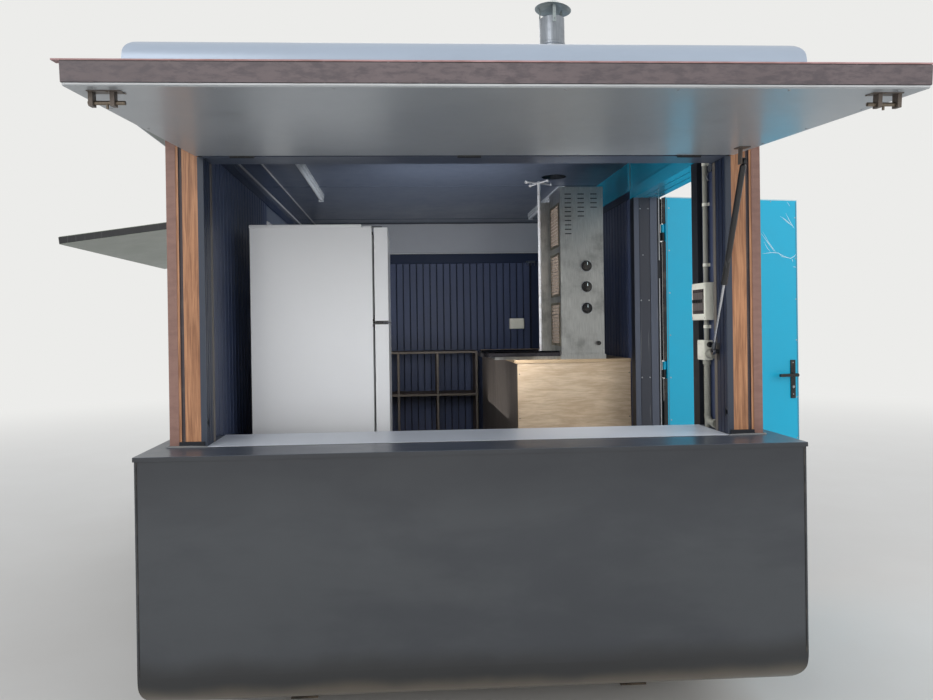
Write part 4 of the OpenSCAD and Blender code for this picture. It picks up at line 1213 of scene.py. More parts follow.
CABIN = Cabin()
UP, DOWN, LEFT, AHEAD = (0, 0, 1), (0, 0, -1), (-1, 0, 0), (0, -1, 0)
SIDES = (-1, 1)
CORNERS = ((-1, -1), (-1, 1), (1, -1), (1, 1))


@dataclass
class Boarding:
    """Upright boards side by side on the walls.

    Attributes:
        pitch: distance from board to board.
        groove: gap between two boards.
        thick: thickness of the boards that shows.
    """

    pitch: float = 0.060
    groove: float = 0.0085
    thick: float = 0.009

    def clad(self, name: str, look: tuple[Finish, str], axis: Axis, face: float, way: int,
             *rows: Sequence[float]) -> None:
        """Makes the boards of one wall.

        Args:
            name: name of the piece.
            look: its finish and slot.
            axis: the axis along which the boards repeat.
            face: place of the wall's face on the other level axis.
            way: direction in which the boards stand out.
            *rows: from and to along the wall, and in height, of each stretch.
        """
        shape = Shape()
        for at, stop, low, high in rows:
            while at < stop - 0.006:
                end = min(at + self.pitch - self.groove, stop)
                shape.flat(axis, face, way * self.thick, (at, end), (low, high))
                at += self.pitch
        shape.piece(name, *look)


@dataclass
class Lining(Boarding):
    """Narrow boards inside the cabin, with the rail, the bands and the jamb strips.

    Attributes:
        side_top: upper end of the boards on the side walls.
        rear_top: upper end of the boards on the rear wall.
        rail: lower and upper edge of the rear rail.
        corner_x: start of the dark panel in the right rear corner, which paints the shade there.
    """

    side_top: float = 2.235
    rear_top: float = 2.085
    rail: Span = (2.085, 2.172)
    corner_x: float = 0.887

    def walls(self) -> None:
        """Boards of the four walls."""
        look, x, y, post = (Palette.boards, "wall_board"), CABIN.in_x, CABIN.in_y, CABIN.post_y
        low, end, top = CABIN.floor + 0.002, y - 0.012, self.side_top
        self.clad("left_lining_boards", look, Axis.Y, -x, 1, (-post, -0.50, low, top),
                  (-0.50, 1.20, low, CABIN.counter - 0.004), (1.20, end, low, top))
        self.clad("right_lining_boards", look, Axis.Y, x, -1, (-post, CABIN.near_jamb[0], low, top),
                  (CABIN.far_jamb[1], end, low, top))
        self.clad("rear_lining_boards", look, Axis.X, y, -1, (-x + 0.001, self.corner_x, low, self.rear_top))
        self.clad("front_sill_boards", look, Axis.X, -y, 1, (-x + 0.012, x - 0.012, low, CABIN.counter - 0.018))

    def rails(self) -> None:
        """Rails over the boards, the dark panel that paints the shade in the right rear corner, and the skirting
        strips.
        """
        x, y, t, post = CABIN.in_x, CABIN.in_y, self.thick, CABIN.post_y
        top, end = (self.side_top, CABIN.wall_top), y - 0.014
        rails, foot = shapes(2)
        rails.flats(
            (Axis.X, y, -0.014, (-x, x), self.rail, 0.003),
            (Axis.Y, -x, 0.012, (-post, end), top, 0.003),
            (Axis.Y, x, -0.012, (CABIN.far_jamb[1], end), top, 0.003),
            (Axis.Y, x, -0.012, (-post, CABIN.near_jamb[0]), top, 0.003),
            # dark panel in the right rear corner: painted shade
            (Axis.X, y, -t, (self.corner_x + 0.004, x - 0.001), (CABIN.floor + 0.002, self.rear_top), 0.002))
        low = (CABIN.floor, CABIN.floor + 0.05)
        foot.flats((Axis.Y, -x + t, 0.006, (-post, y - t), low, 0.002),
                   (Axis.X, y - t, -0.006, (-x + t, x - t), low, 0.002))
        rails.piece("lining_rails", Palette.rail, "wall_board")
        foot.piece("skirting_strips", Palette.rail, "wall_board")

    def bands(self) -> None:
        """Sheets over the upper bands, with their edge lines and joints."""
        x, y, top, low = CABIN.in_x, CABIN.in_y, CABIN.ceiling - 0.0005, self.rail[1]
        z, long = (CABIN.wall_top + 0.002, top), (-y + 0.002, y - 0.012)
        rear, left, seam, edge, joint = shapes(5)
        rear.flat(Axis.X, y, -0.004, (-x + 0.004, x - 0.002), (low, top), 0.001)
        left.flat(Axis.Y, -x, 0.003, (-y + 0.002, y - 0.004), z, 0.001)
        seam.flat(Axis.X, y - 0.004, -0.006, (-x + 0.010, x - 0.010), (CABIN.ceiling - 0.009, top), 0.002)
        edge.flats((Axis.X, y - 0.004, -0.006, (-x + 0.004, x - 0.004), (low, low + 0.009), 0.002),
                   (Axis.Y, -x + 0.003, 0.007, long, (2.312, 2.322), 0.002),
                   (Axis.Y, -x + 0.003, 0.005, long, (CABIN.ceiling - 0.012, top), 0.002))
        for at in (-0.62, 0.28, 1.18):
            joint.flat(Axis.Y, x, -0.0025, (at, at + 0.022), z, 0.0008)
        rear.piece("rear_band_sheet", Palette.band, "band_panel")
        left.piece("left_band_sheet", Palette.night, "band_panel")
        seam.piece("rear_band_seam", Palette.frame_dark, "band_panel")
        edge.piece("band_edge_strips", Palette.pale_edge, "band_panel")
        joint.piece("teal_band_joints", Palette.teal_dull, "teal_sheet")

    def jamb_strips(self) -> None:
        """Flat strips, open at the bolt hole, and a worn edge on the front posts' inner faces."""
        low, top = CABIN.counter + 0.003, 2.174
        strips, worn = shapes(2)
        for side in SIDES:
            x = side * CABIN.post_x
            for y0, y1, z0, z1 in ((-1.892, -1.874, low, 1.162), (-1.892, -1.874, 1.194, top),
                                   (-1.868, -1.842, low, top), (-1.838, -1.812, low, top)):
                strips.flat(Axis.Y, x, -side * 0.003, (y0, y1), (z0, z1))
            worn.flat(Axis.Y, x, -side * 0.0045, (-1.810, -1.788), (low, top))
        strips.piece("post_jamb_strips", Palette.rail, "black_steel")
        worn.piece("post_worn_edges", Palette.worn, "black_steel")

    def build(self) -> None:
        """Makes all pieces of the lining."""
        for step in (self.walls, self.rails, self.bands, self.jamb_strips):
            step()


@dataclass
class Siding(Boarding):
    """Upright cladding boards on the outer faces of the walls, with the left opening's trim.

    Attributes:
        pitch: distance from board to board.
        groove: gap between two boards.
        thick: thickness of the boards that shows.
    """

    pitch: float = 0.098
    groove: float = 0.0045
    thick: float = 0.0024

    def build(self) -> None:
        """Makes the boards of the left, right and rear wall, and the trim."""
        look, x, y, end = (Palette.siding, "wood_cladding"), CABIN.out_x, CABIN.post_y, CABIN.post_x + 0.1
        low, top = CABIN.counter + 0.001, CABIN.wall_top - 0.001
        self.clad("left_siding_boards", look, Axis.Y, -x, -1, (-y, -0.50, low, top), (-0.50, 1.20, 2.151, top),
                  (1.20, y, low, top))
        self.clad("right_siding_boards", look, Axis.Y, x, 1, (-y, CABIN.near_jamb[0], low, top),
                  (CABIN.far_jamb[1], y, low, top))
        self.clad("rear_siding_boards", look, Axis.X, CABIN.out_y, 1, (-end, end, low, top))
        trim, x = Shape(), -x - 0.001
        for y, face in ((-0.52, -0.50), (1.20, 1.1985)):
            trim.box((x - 0.003, y, low), (x + 0.0005, y + 0.020, 2.150), 0.0008)
            trim.box((x - 0.001, face, low), (-CABIN.in_x - 0.002, face + 0.0015, 2.149), 0.0004)
        trim.box((x - 0.003, -0.52, 2.150), (x + 0.0005, 1.22, 2.166), 0.0008)
        trim.piece("left_opening_edge_trim", Palette.blue_trim, "blue_grey_trim")


@dataclass
class Tub:
    """Small parts of the skirt, the counter, the post bases and the legs.

    Attributes:
        rivet_pitch: distance of the rivets beside the front seams.
        side: outer face of the skirt's sides.
        leg_x: place of the outer legs across.
        leg_y: place of the end legs along.
        leg: half width of a leg with its weld.
    """

    rivet_pitch: float = 0.085
    side: float = 1.2040
    leg_x: float = 0.690
    leg_y: float = 1.600
    leg: float = 0.0262

    def seams(self) -> None:
        """Rivets and beads beside the four upright seams of the skirt."""
        rivets, beads = shapes(2)
        for x, y in CORNERS:
            rivets.heads((x * 1.2005, y * 2.072, 0.345), (0, 0, self.rivet_pitch), 9, (x, 0, 0), 0.0045, 0.002)
            beads.tube([(x * 1.1925, y * 2.1003, z) for z in (0.325, 0.6, 0.85, 1.072)], 0.0022, 6)
        rivets.piece("skirt_rivets", Palette.zinc_dull, "charcoal_sheet")
        beads.piece("skirt_seam_beads", Palette.black_rubber, "charcoal_sheet")

    def counter(self) -> None:
        """Pale inner sheet of the counter, the faces of its lip and a black strip along the sheet's front edge, painted
        as the shade under that edge.
        """
        x, z, out = CABIN.post_x - 0.0005, CABIN.counter, self.side + 0.0006
        low, high = z - 0.0160, z - 0.0010
        sheet, lip, joint = shapes(3)
        sheet.box((-x, -1.912, z - 0.0003), (x, -1.6158, z + 0.0016), 0.0007)
        lip.boxes(0.0002, (-out, -2.1046, low, out, -2.1040, high), (-out, -2.1040, low, -self.side, 2.1038, high),
                  (self.side, -2.1040, low, out, -1.6056, high), (self.side, -0.6844, low, out, 2.1038, high))
        # black strip along the sheet's front edge: painted shade under that edge
        joint.box((-x, -1.9150, z - 0.0005), (x, -1.9122, z + 0.0008), 0.0003)
        sheet.piece("counter_pale_sheet", Palette.worktop, "counter_sheet")
        lip.piece("counter_lip_faces", Palette.skirt, "counter_sheet")
        joint.piece("counter_sheet_joint", Palette.black_rubber, "counter_sheet")

    def post_bases(self) -> None:
        """Grooves of the posts, and dark foot trims and sealant round the front posts."""
        z = CABIN.counter
        groove, trims, seal = shapes(3)
        for end in SIDES:
            for low, high, depth in ((1.0824, 1.0956, 0.0008), (1.0824, 1.0832, 0.0062), (1.0948, 1.0956, 0.0062)):
                y0, y1 = sorted((end * 1.8930, end * (1.8930 + depth)))
                groove.pair((low, y0, z + 0.001), (high, y1, 2.279), 0.0)
        trims.pair((1.010, -1.908, z), (1.104, -1.9002, z + 0.020), 0.0015)
        trims.pair((1.010, -1.911, z), (1.104, -1.908, z + 0.009), 0.001)
        line = ((0.998, -1.914, 0.001), (1.06, -1.9145, 0.002), (1.135, -1.9125, 0.002),
                (1.1475, -1.905, 0.001), (1.148, -1.86, 0.001), (1.1475, -1.79, 0.0))
        for side in SIDES:
            radii = [0.0035, 0.0050, 0.0046, 0.0052, 0.0042, 0.0030]
            seal.tube([(side * x, y, z + rise) for x, y, rise in line], radii)
        groove.piece("post_grooves", Palette.groove, "wood_cladding")
        trims.piece("post_foot_trims", Palette.post, "black_steel")
        seal.piece("post_foot_sealant", Palette.caulk, "black_steel")

    def legs(self) -> None:
        """Weld beads on the foot plates and levelling bolts."""
        welds, bolts = shapes(2)
        places = [(x, y) for x in (-self.leg_x, self.leg_x) for y in (-self.leg_y, 0.0, self.leg_y)]
        for x, y in places + [(0.0, 0.0)]:
            ring = ((-1, -1), (1, -1), (1, 1), (-1, 1), (-1, -0.6))
            line = [(x + a * self.leg, y + b * self.leg, 0.0095) for a, b in ring]
            welds.tube(line, [0.004, 0.0047, 0.004, 0.0046, 0.004], 6)
            for a, b in CORNERS:
                at = (x + a * 0.040, y + b * 0.040)
                bolts.rod((*at, 0.008), (*at, 0.0145), 0.0075, 6, 0.0006)
        welds.piece("foot_weld_beads", Palette.bolt, "black_steel")
        bolts.piece("foot_bolts", Palette.bolt, "black_steel")

    def build(self) -> None:
        """Makes all small parts of the tub."""
        for step in (self.seams, self.counter, self.post_bases, self.legs):
            step()


@dataclass
class RoofCap:
    """Joints, screws and sealant of the cap.

    Attributes:
        x: half width of the cap.
        y: half length of the cap.
        flue: middle of the flue.
        pipe: radius of the flue's face.
    """

    x: float = 1.221
    y: float = 2.100
    flue: Span = (0.690, -0.190)
    pipe: float = 0.0772

    def joints(self) -> None:
        """Joint strips over the cap's top, and the screws of the cap and the soffit."""
        strips, screws, soffit = shapes(3)
        start = -self.x + 0.075
        for y in (-1.05, 0.0, 1.05):
            section = ((-0.022, 2.5595), (0.022, 2.5595), (0.0121, 2.5625), (-0.0121, 2.5625))
            strips.prism([(start, y + across, z) for across, z in section], (-2 * start, 0, 0))
            screws.heads((-1.10, y, 2.5615), (0.20, 0, 0), 12, UP, 0.005, 0.0022)
        for side in SIDES:
            screws.heads((side * self.x, -1.95, 2.306), (0, 0.30, 0), 14, (side, 0, 0), 0.0042, 0.0018)
            screws.heads((-1.05, side * self.y, 2.306), (0.30, 0, 0), 8, (0, side, 0), 0.0042, 0.0018)
            soffit.heads((-1.05, side * 2.045, 2.2802), (0.30, 0, 0), 8, DOWN, 0.0045, 0.0018)
            soffit.heads((side * 1.185, -1.80, 2.2802), (0, 0.30, 0), 13, DOWN, 0.0045, 0.0018)
        strips.piece("roof_joint_strips", Palette.roof, "roof_sheet")
        screws.piece("roof_screws", Palette.zinc_dull, "roof_sheet")
        soffit.piece("soffit_screws", Palette.zinc_dull, "roof_sheet")

    def sealant(self) -> None:
        """Bead of sealant round the flue's collar, and the pipe's joint bands."""
        bead, bands = shapes(2)
        foot = (*self.flue, 0)
        ring = [(0.140, 2.5595), (0.160, 2.5595), (0.158, 2.5640), (0.150, 2.5665), (0.142, 2.5645)]
        bead.lathe(ring, foot, UP, 40, True)
        for z in (2.636, 2.93, 3.26):
            ring = [(self.pipe, z), (0.0800, z + 0.003), (0.0800, z + 0.016), (self.pipe, z + 0.019)]
            bands.lathe(ring, foot, UP, 40, True)
        for z in (3.085, 3.10):
            bands.lathe([(self.pipe, z), (0.0788, z + 0.003), (self.pipe, z + 0.006)], foot, UP, 40, True)
        for start, r, z, size, high in ((20, 0.0798, 2.9395, 0.004, 0.0022), (30, 0.0792, 3.410, 0.0045, 0.0024)):
            for turn in range(3):
                c, s = around(start + 120 * turn)
                bands.dome((foot[0] + r * c, foot[1] + r * s, z), (c, s, 0), size, high, 8)
        bead.piece("flue_sealant", Palette.caulk, "flue_metal")
        bands.piece("flue_joint_bands", Palette.flue, "flue_metal")

    def build(self) -> None:
        """Makes the cap's small parts."""
        self.joints()
        self.sealant()


@dataclass
class Ceiling:
    """Joint profiles of the ceiling and the ends of the tube lamps.

    Attributes:
        lamps: X, start and end along Y of each lamp.
        tube: height of the lamps' tubes.
    """

    lamps: tuple = ((-0.820, -0.820, 0.380), (0.800, 0.090, 1.290))
    tube: float = 2.418

    def build(self) -> None:
        """Makes the joint profiles, lamp collars and housing ribs."""
        strips, collars, ribs = shapes(3)
        z = CABIN.ceiling
        for y in (0.10, 1.55):
            section = ((-0.014, 0.0), (-0.010, 0.0028), (0.010, 0.0028), (0.014, 0.0))
            strips.prism([(-1.036, y + across, z - down) for across, down in section], (2.072, 0, 0))
        for x, y0, y1 in self.lamps:
            ring = [(0.0126, 0.0), (0.0140, 0.001), (0.0140, 0.016), (0.0128, 0.018)]
            for y, way in ((y0 + 0.024, 1), (y1 - 0.024, -1)):
                collars.lathe(ring, (x, y, self.tube), (0, way, 0), 24, True)
            for k in range(1, 6):
                y = y0 + k * 0.2
                ribs.box((x - 0.022, y, z - 0.0235), (x + 0.022, y + 0.006, z - 0.0005), 0.0006)
        strips.piece("ceiling_joint_profiles", Palette.ceiling_dark, "ceiling_panel")
        collars.piece("lamp_tube_collars", Palette.zinc, "lamp_plastic")
        ribs.piece("lamp_housing_ribs", Palette.lamp, "lamp_plastic")


@dataclass
class Flap:
    """Screws, side folds and top beads of one top hung flap, drawn flat and turned open.

    In the flap's own frame the hinge lies along X, the reach along minus Y and the skin above zero.

    Attributes:
        name: start of the pieces' names, and the CAD body that the flap rides on.
        axis: hinge axis in the kiosk's frame.
        slope: slope at which it stands open, in degrees.
        turn: turn about the upright, in degrees.
        width: width along the hinge.
        reach: distance from the hinge to the front edge.
        thick: thickness of the panel.
        finish: finish of the sheets.
        pitch: distance of the screws.
        screw: radius and height of a screw's head.
    """

    name: str
    axis: Point
    slope: float
    turn: float
    width: float
    reach: float
    thick: float
    finish: Finish
    pitch: float = 0.275
    screw: Span = (0.0042, 0.0018)

    def close(self, shape: Shape, name: str, finish: Finish, slot: str = "flap_sheet") -> None:
        """Turns a shape open with the flap and makes the piece.

        Args:
            shape: the shape in the flap's own frame.
            name: end of the piece's name.
            finish: its finish.
            slot: its slot.
        """
        turn, slope = (Matrix.Rotation(math.radians(a), 4, b) for a, b in ((self.turn, "Z"), (self.slope, "X")))
        place = Matrix.Translation(Vector(self.axis)) @ turn @ slope
        shape.piece(self.name + name, finish, slot, self.name, place)

    def build(self) -> None:
        """Makes the screw heads of the underside, the folded sides and the upper skin's beads."""
        screws, folds, beads = shapes(3)
        half, end = self.width / 2, -self.reach
        count = int((self.width - 0.12) / self.pitch) + 1
        for y in (-0.030, end + 0.026):
            start = (-(count - 1) * self.pitch / 2, y, -0.0002)
            screws.heads(start, (self.pitch, 0, 0), count, DOWN, *self.screw)
        for x in (-half + 0.015, half - 0.015):
            screws.heads((x, -0.27, -0.0002), (0, -self.pitch, 0), 3, DOWN, *self.screw)
        low, high = (half - 0.014, end + 0.006, self.thick - 0.0002), (half + 0.0012, -0.014, self.thick + 0.0014)
        folds.pair(low, high, 0.0005)
        for k in range(-2, 3):
            x, y = k * self.width / 5.4, end + 0.10
            section = ((-0.018, 0.0), (0.018, 0.0), (0.010, 0.0028), (-0.010, 0.0028))
            beads.prism([(x + across, y, self.thick + high) for across, high in section], (0, self.reach - 0.20, 0))
        self.close(screws, "_screws", Palette.zinc)
        self.close(folds, "_side_folds", self.finish)
        self.close(beads, "_top_beads", self.finish)


@dataclass
class FrontFlap(Flap):
    """The serving flap over the front, with its rusty edge angle and bolts."""

    def angle_edge(self) -> None:
        """Pale fold below the rusty angle, black strips painted as shadow lines under its top leg and above the fold,
        its top leg and weld spots.
        """
        fold, dark, leg, welds = shapes(4)
        side, y, top = self.width / 2, -self.reach, self.thick
        half = side + 0.003
        fold.box((-side, y + 0.0042, -0.0006), (side, y + 0.0110, 0.0090), 0.0012)
        fold.box((-side, y + 0.0008, 0.0012), (side, y + 0.0048, 0.0068), 0.0010)
        # thin black strips: painted shadow under the angle's top leg and above its fold
        dark.boxes(0.0004, (-half, y + 0.0020, 0.0070, half, y + 0.0060, 0.0102),
                   (-half, y + 0.0030, top + 0.0044, half, y + 0.0300, top + 0.0066))
        leg.box((-half - 0.020, y + 0.0014, top + 0.0064), (half + 0.002, y + 0.0300, top + 0.0104), 0.0006)
        rng = random.Random(SEED)
        for k in range(9):
            x = -half + 0.06 + k * (2 * half - 0.12) / 8
            line = [(x + d * 0.010, y - 0.0002, top - 0.041 + rng.uniform(-0.0008, 0.0008)) for d in range(-2, 3)]
            welds.tube(line, [0.0012, 0.0022, 0.0026, 0.0022, 0.0010], 6)
        self.close(fold, "_front_fold", Palette.pale_edge)
        self.close(dark, "_shadow_gaps", Palette.cylinder, "rusty_steel")
        self.close(leg, "_top_leg", Palette.rust_line, "rusty_steel")
        self.close(welds, "_weld_spots", Palette.fascia, "rusty_steel")

    def bolt_guides(self) -> None:
        """Rivets on the plates of the two side bolts."""
        shape = Shape()
        for x in (0.982, 0.944, 0.910):
            for a, b in CORNERS:
                shape.dome((a * x, -1.000 + b * 0.011, -0.0022), DOWN, 0.003, 0.0014, 8)
        self.close(shape, "_bolt_rivets", Palette.bolt)

    def build(self) -> None:
        """Makes the front flap's pieces."""
        super().build()
        self.angle_edge()
        self.bolt_guides()


@dataclass
class Strut:
    """Collars and cap of one gas strut, drawn along its own line.

    Attributes:
        name: start of the pieces' and the bodies' names.
        low: lower pivot in the kiosk's frame.
        top: upper pivot in the kiosk's frame.
        length: length of the cylinder.
    """

    name: str
    low: Point
    top: Point
    length: float = 0.470

    def build(self) -> None:
        """Makes the sealing collar, the rings, the end cap and the rod's shoe."""
        low, top = Vector(self.low), Vector(self.top)
        way = (top - low).normalized()
        mouth = top - way * self.length
        collar, shoe = shapes(2)
        collar.lathe([(0.0090, -0.0012), (0.0122, -0.0004), (0.0124, 0.010), (0.0112, 0.012), (0.0106, 0.012),
                      (0.0106, 0.001), (0.0090, 0.001)], mouth, way, 24, True)
        for at in (0.030, 0.415):
            ring = [(0.0108, at), (0.0116, at + 0.002), (0.0116, at + 0.006), (0.0108, at + 0.008)]
            collar.lathe(ring, mouth, way, 24, True)
        collar.lathe([(0.0104, 0.4525), (0.0085, 0.4565), (0.0052, 0.4590), (0.0048, 0.4560)], mouth, way, 24, True)
        shoe.lathe([(0.0050, 0.012), (0.0082, 0.013), (0.0082, 0.034), (0.0064, 0.040), (0.0050, 0.042)], low, way,
                   20, True)
        collar.piece(self.name + "_cylinder_rings", Palette.cylinder, "strut_black", self.name + "_cylinder")
        shoe.piece(self.name + "_rod_shoe", Palette.zinc_dull, "bright_steel", self.name + "_rod")


HINGE_GAPS = ((0.432, 0.556), (0.654, 1.221), (1.319, 1.981), (2.079, 2.2215))


@dataclass
class Door:
    """Rivets, gasket, edge strips and lock of the door, drawn closed and turned open.

    Attributes:
        axis: hinge axis.
        turn: angle at which it stands open, in degrees.
        near: free edge of the closed leaf.
        far: hinge edge of the closed leaf.
        half: half thickness of the leaf.
        low: lower edge of the leaf.
        high: upper edge of the leaf.
        marks: paths of the scratches, from the free edge and in height.
    """

    axis: Point = (1.182, -0.718, 0.0)
    turn: float = 99.0
    near: float = -0.842
    far: float = -0.012
    half: float = 0.016
    low: float = 0.425
    high: float = 2.227
    marks: tuple = (
        ((0.108, 2.132), (0.080, 2.116), (0.058, 2.100), (0.020, 2.070)),
        ((0.072, 2.150), (0.052, 2.114), (0.030, 2.080), (0.018, 2.062)),
        ((0.092, 2.120), (0.062, 2.098), (0.040, 2.084)),
        ((0.064, 2.215), (0.054, 2.204), (0.044, 2.190)),
        ((0.234, 2.032), (0.190, 1.978), (0.160, 1.942), (0.150, 1.930)),
        ((0.224, 2.044), (0.184, 1.978), (0.160, 1.950), (0.139, 1.924)),
        ((0.216, 1.985), (0.196, 1.950), (0.176, 1.926)),
        ((0.226, 1.916), (0.171, 1.923), (0.126, 1.921), (0.087, 1.902), (0.046, 1.890), (0.020, 1.902),
         (0.006, 1.918)),
        ((0.126, 1.924), (0.100, 1.900), (0.060, 1.893)),
        ((0.036, 1.890), (0.032, 1.880), (0.030, 1.868)),
        ((0.030, 1.842), (0.018, 1.841), (0.006, 1.839)),
    )

    def close(self, shape: Shape, name: str, finish: Finish, slot: str = "door_skin") -> None:
        """Turns a shape open with the leaf and makes the piece."""
        place = Matrix.Translation(Vector(self.axis)) @ Matrix.Rotation(math.radians(self.turn), 4, "Z")
        shape.piece("door_" + name, finish, slot, "door", place)

    def rivets(self) -> None:
        """Rivets near both upright edges and the top, inside and outside."""
        shape = Shape()
        far, near = self.far - 0.020, self.near + 0.012
        for side in SIDES:
            x, way = side * (self.half + 0.0001), (side, 0, 0)
            for y, z, count in ((far, 0.52, 8), (near, 0.62, 3), (near, 1.42, 4)):
                shape.heads((x, y, z), (0, 0, 0.235), count, way, 0.0042, 0.0009)
            shape.heads((x, self.far - 0.18, self.high - 0.012), (0, -0.24, 0), 3, way, 0.0036, 0.0016)
        self.close(shape, "rivets", Palette.zinc)

    def edges(self) -> None:
        """Bright strips over the leaf's edges, a gasket and the rubber lip beside the hinges."""
        strips, seal, lip = shapes(3)
        out, y, edge = self.half + 0.0006, self.near + 0.0008, self.near + 0.0026
        low, high = self.low + 0.002, self.high
        strips.boxes(0.0004, (-out, y, high - 0.005, out, self.far, high + 0.0008),
                     (-out, y, low, -self.half + 0.002, edge, high), (self.half - 0.002, y, low, out, edge, high),
                     (-out, y, self.low - 0.0008, out, self.far, self.low + 0.006))
        x = -self.half - 0.0008
        for y in (self.near + 0.0050, self.far - 0.0100):
            seal.box((x, y, self.low + 0.012), (x + 0.001, y + 0.0045, high - 0.012), 0.0003)
        for z0, z1 in HINGE_GAPS:
            lip.box((-self.half, self.far - 0.0005, z0), (-self.half + 0.0022, 0.0108, z1), 0.0005)
        self.close(strips, "edge_strips", Palette.door_pale)
        self.close(seal, "gasket", Palette.teal_dull)
        self.close(lip, "hinge_lip", Palette.black_rubber)

    def scratches(self) -> None:
        """Long white scratches in the upper part, cut through the coat."""
        shape, x = Shape(), -self.half - 0.0001
        for line in self.marks:
            radii = [0.0004] + [0.0015] * (len(line) - 2) + [0.0004]
            shape.tube([(x, self.near + across, z) for across, z in line], radii, 5)
        self.close(shape, "scratches", Palette.scratch)

    def lock(self) -> None:
        """Lock cylinders, plate screws and spindle collars on both sides."""
        shape, collar = shapes(2)
        for side in SIDES:
            x, y, way = side * (self.half + 0.006), self.near + 0.040, (side, 0, 0)
            for z in (1.108, 1.290):
                shape.dome((x, y, z), way, 0.0040, 0.0016)
            plug = [(0.0, 0.0040), (0.0035, 0.0042), (0.0070, 0.0038), (0.0085, 0.0), (0.0, -0.001)]
            shape.lathe(plug, (x, y, 1.150), way, 20)
            ring = [(0.0096, 0.0002), (0.0140, 0.0002), (0.0136, 0.0050), (0.0110, 0.0065), (0.0096, 0.0060)]
            collar.lathe(ring, (x, y, 1.220), way, 24, True)
        self.close(shape, "lock_cylinders", Palette.zinc)
        self.close(collar, "spindle_collars", Palette.handle, "black_plastic")

    def build(self) -> None:
        """Makes the door's pieces."""
        for step in (self.rivets, self.edges, self.scratches, self.lock):
            step()


@dataclass
class Doorway:
    """Profiles and screws of the doorway's reveals, the boards of its head and its threshold.

    Attributes:
        x0: inner edge of the frame.
        x1: outer edge of the frame.
        head: underside of the door head.
        span: from and to between the jambs.
    """

    x0: float = 1.012
    x1: float = 1.160
    head: float = 2.223
    span: Span = (CABIN.near_jamb[1] + 0.001, CABIN.far_jamb[0] - 0.001)

    def reveals(self) -> None:
        """Three profiles, a pale gap line and screws on both reveals, and the rubber in the hinge gap."""
        seal, light, dark, line, screws = shapes(5)
        for y, way in ((CABIN.far_jamb[0], -1), (CABIN.near_jamb[1], 1)):
            z = (CABIN.floor + 0.001, self.head - 0.001)
            light.flats((Axis.X, y, way * 0.0034, (self.x0, 1.041), z), (Axis.X, y, way * 0.0034, (1.1015, 1.142), z))
            dark.flat(Axis.X, y, way * 0.0020, (1.0425, 1.100), z, 0.0008)
            for ends in ((0.45, 1.775), (1.875, 2.2215)):
                line.flat(Axis.X, y, way * 0.0030, (1.1500, 1.1545), ends, 0.0006)
            face, ahead = y + way * 0.002, (0, way, 0)
            for x in (1.048, 1.092):
                for rise in (0.55, 1.23, 1.655, 2.16):
                    screws.dome((x, face, rise), ahead, 0.0042, 0.0016)
            screws.dome((1.061, face, 1.905), ahead, 0.0038, 0.0014)
        for low, high in HINGE_GAPS:
            seal.box((self.x1 + 0.0003, -0.6955, low), (self.x1 + 0.0270, -0.6925, high), 0.0005)
        seal.piece("doorway_hinge_seal", Palette.black_rubber, "black_steel")
        light.piece("doorway_frame_profiles", Palette.frame_grey, "black_steel")
        dark.piece("doorway_frame_channels", Palette.frame_dark, "black_steel")
        line.piece("doorway_gap_strips", Palette.pale_edge, "black_steel")
        screws.piece("doorway_frame_screws", Palette.zinc, "black_steel")

    def head_boards(self) -> None:
        """Boards of the door head with dark grooves between them."""
        boards, gaps = shapes(2)
        y0, y1 = self.span
        for a, b in ((self.x0 + 0.001, 1.057), (1.062, 1.108), (1.113, self.x1 - 0.001)):
            boards.box((a, y0, self.head - 0.003), (b, y1, self.head), 0.0010)
        for a in (1.0575, 1.1085):
            gaps.box((a, y0, self.head - 0.0008), (a + 0.004, y1, self.head), 0.0002)
        boards.piece("door_head_boards", Palette.teal, "teal_sheet")
        gaps.piece("door_head_grooves", Palette.black_rubber, "teal_sheet")

    def threshold(self) -> None:
        """Aluminium threshold with ribs between the jambs."""
        shape, z = Shape(), CABIN.floor
        y0, y1 = self.span
        shape.box((self.x0, y0, z), (self.x1 - 0.004, y1, z + 0.004), 0.001)
        low, high = (self.x0 + 0.010, y0 + 0.002, z + 0.0035), (self.x0 + 0.016, y1 - 0.002, z + 0.0062)
        shape.repeat(shape.box(low, high, 0.0008), 9, (0.0145, 0, 0))
        shape.piece("door_threshold", Palette.zinc_dull, "black_steel")

    def build(self) -> None:
        """Makes the doorway's pieces."""
        for step in (self.reveals, self.head_boards, self.threshold):
            step()


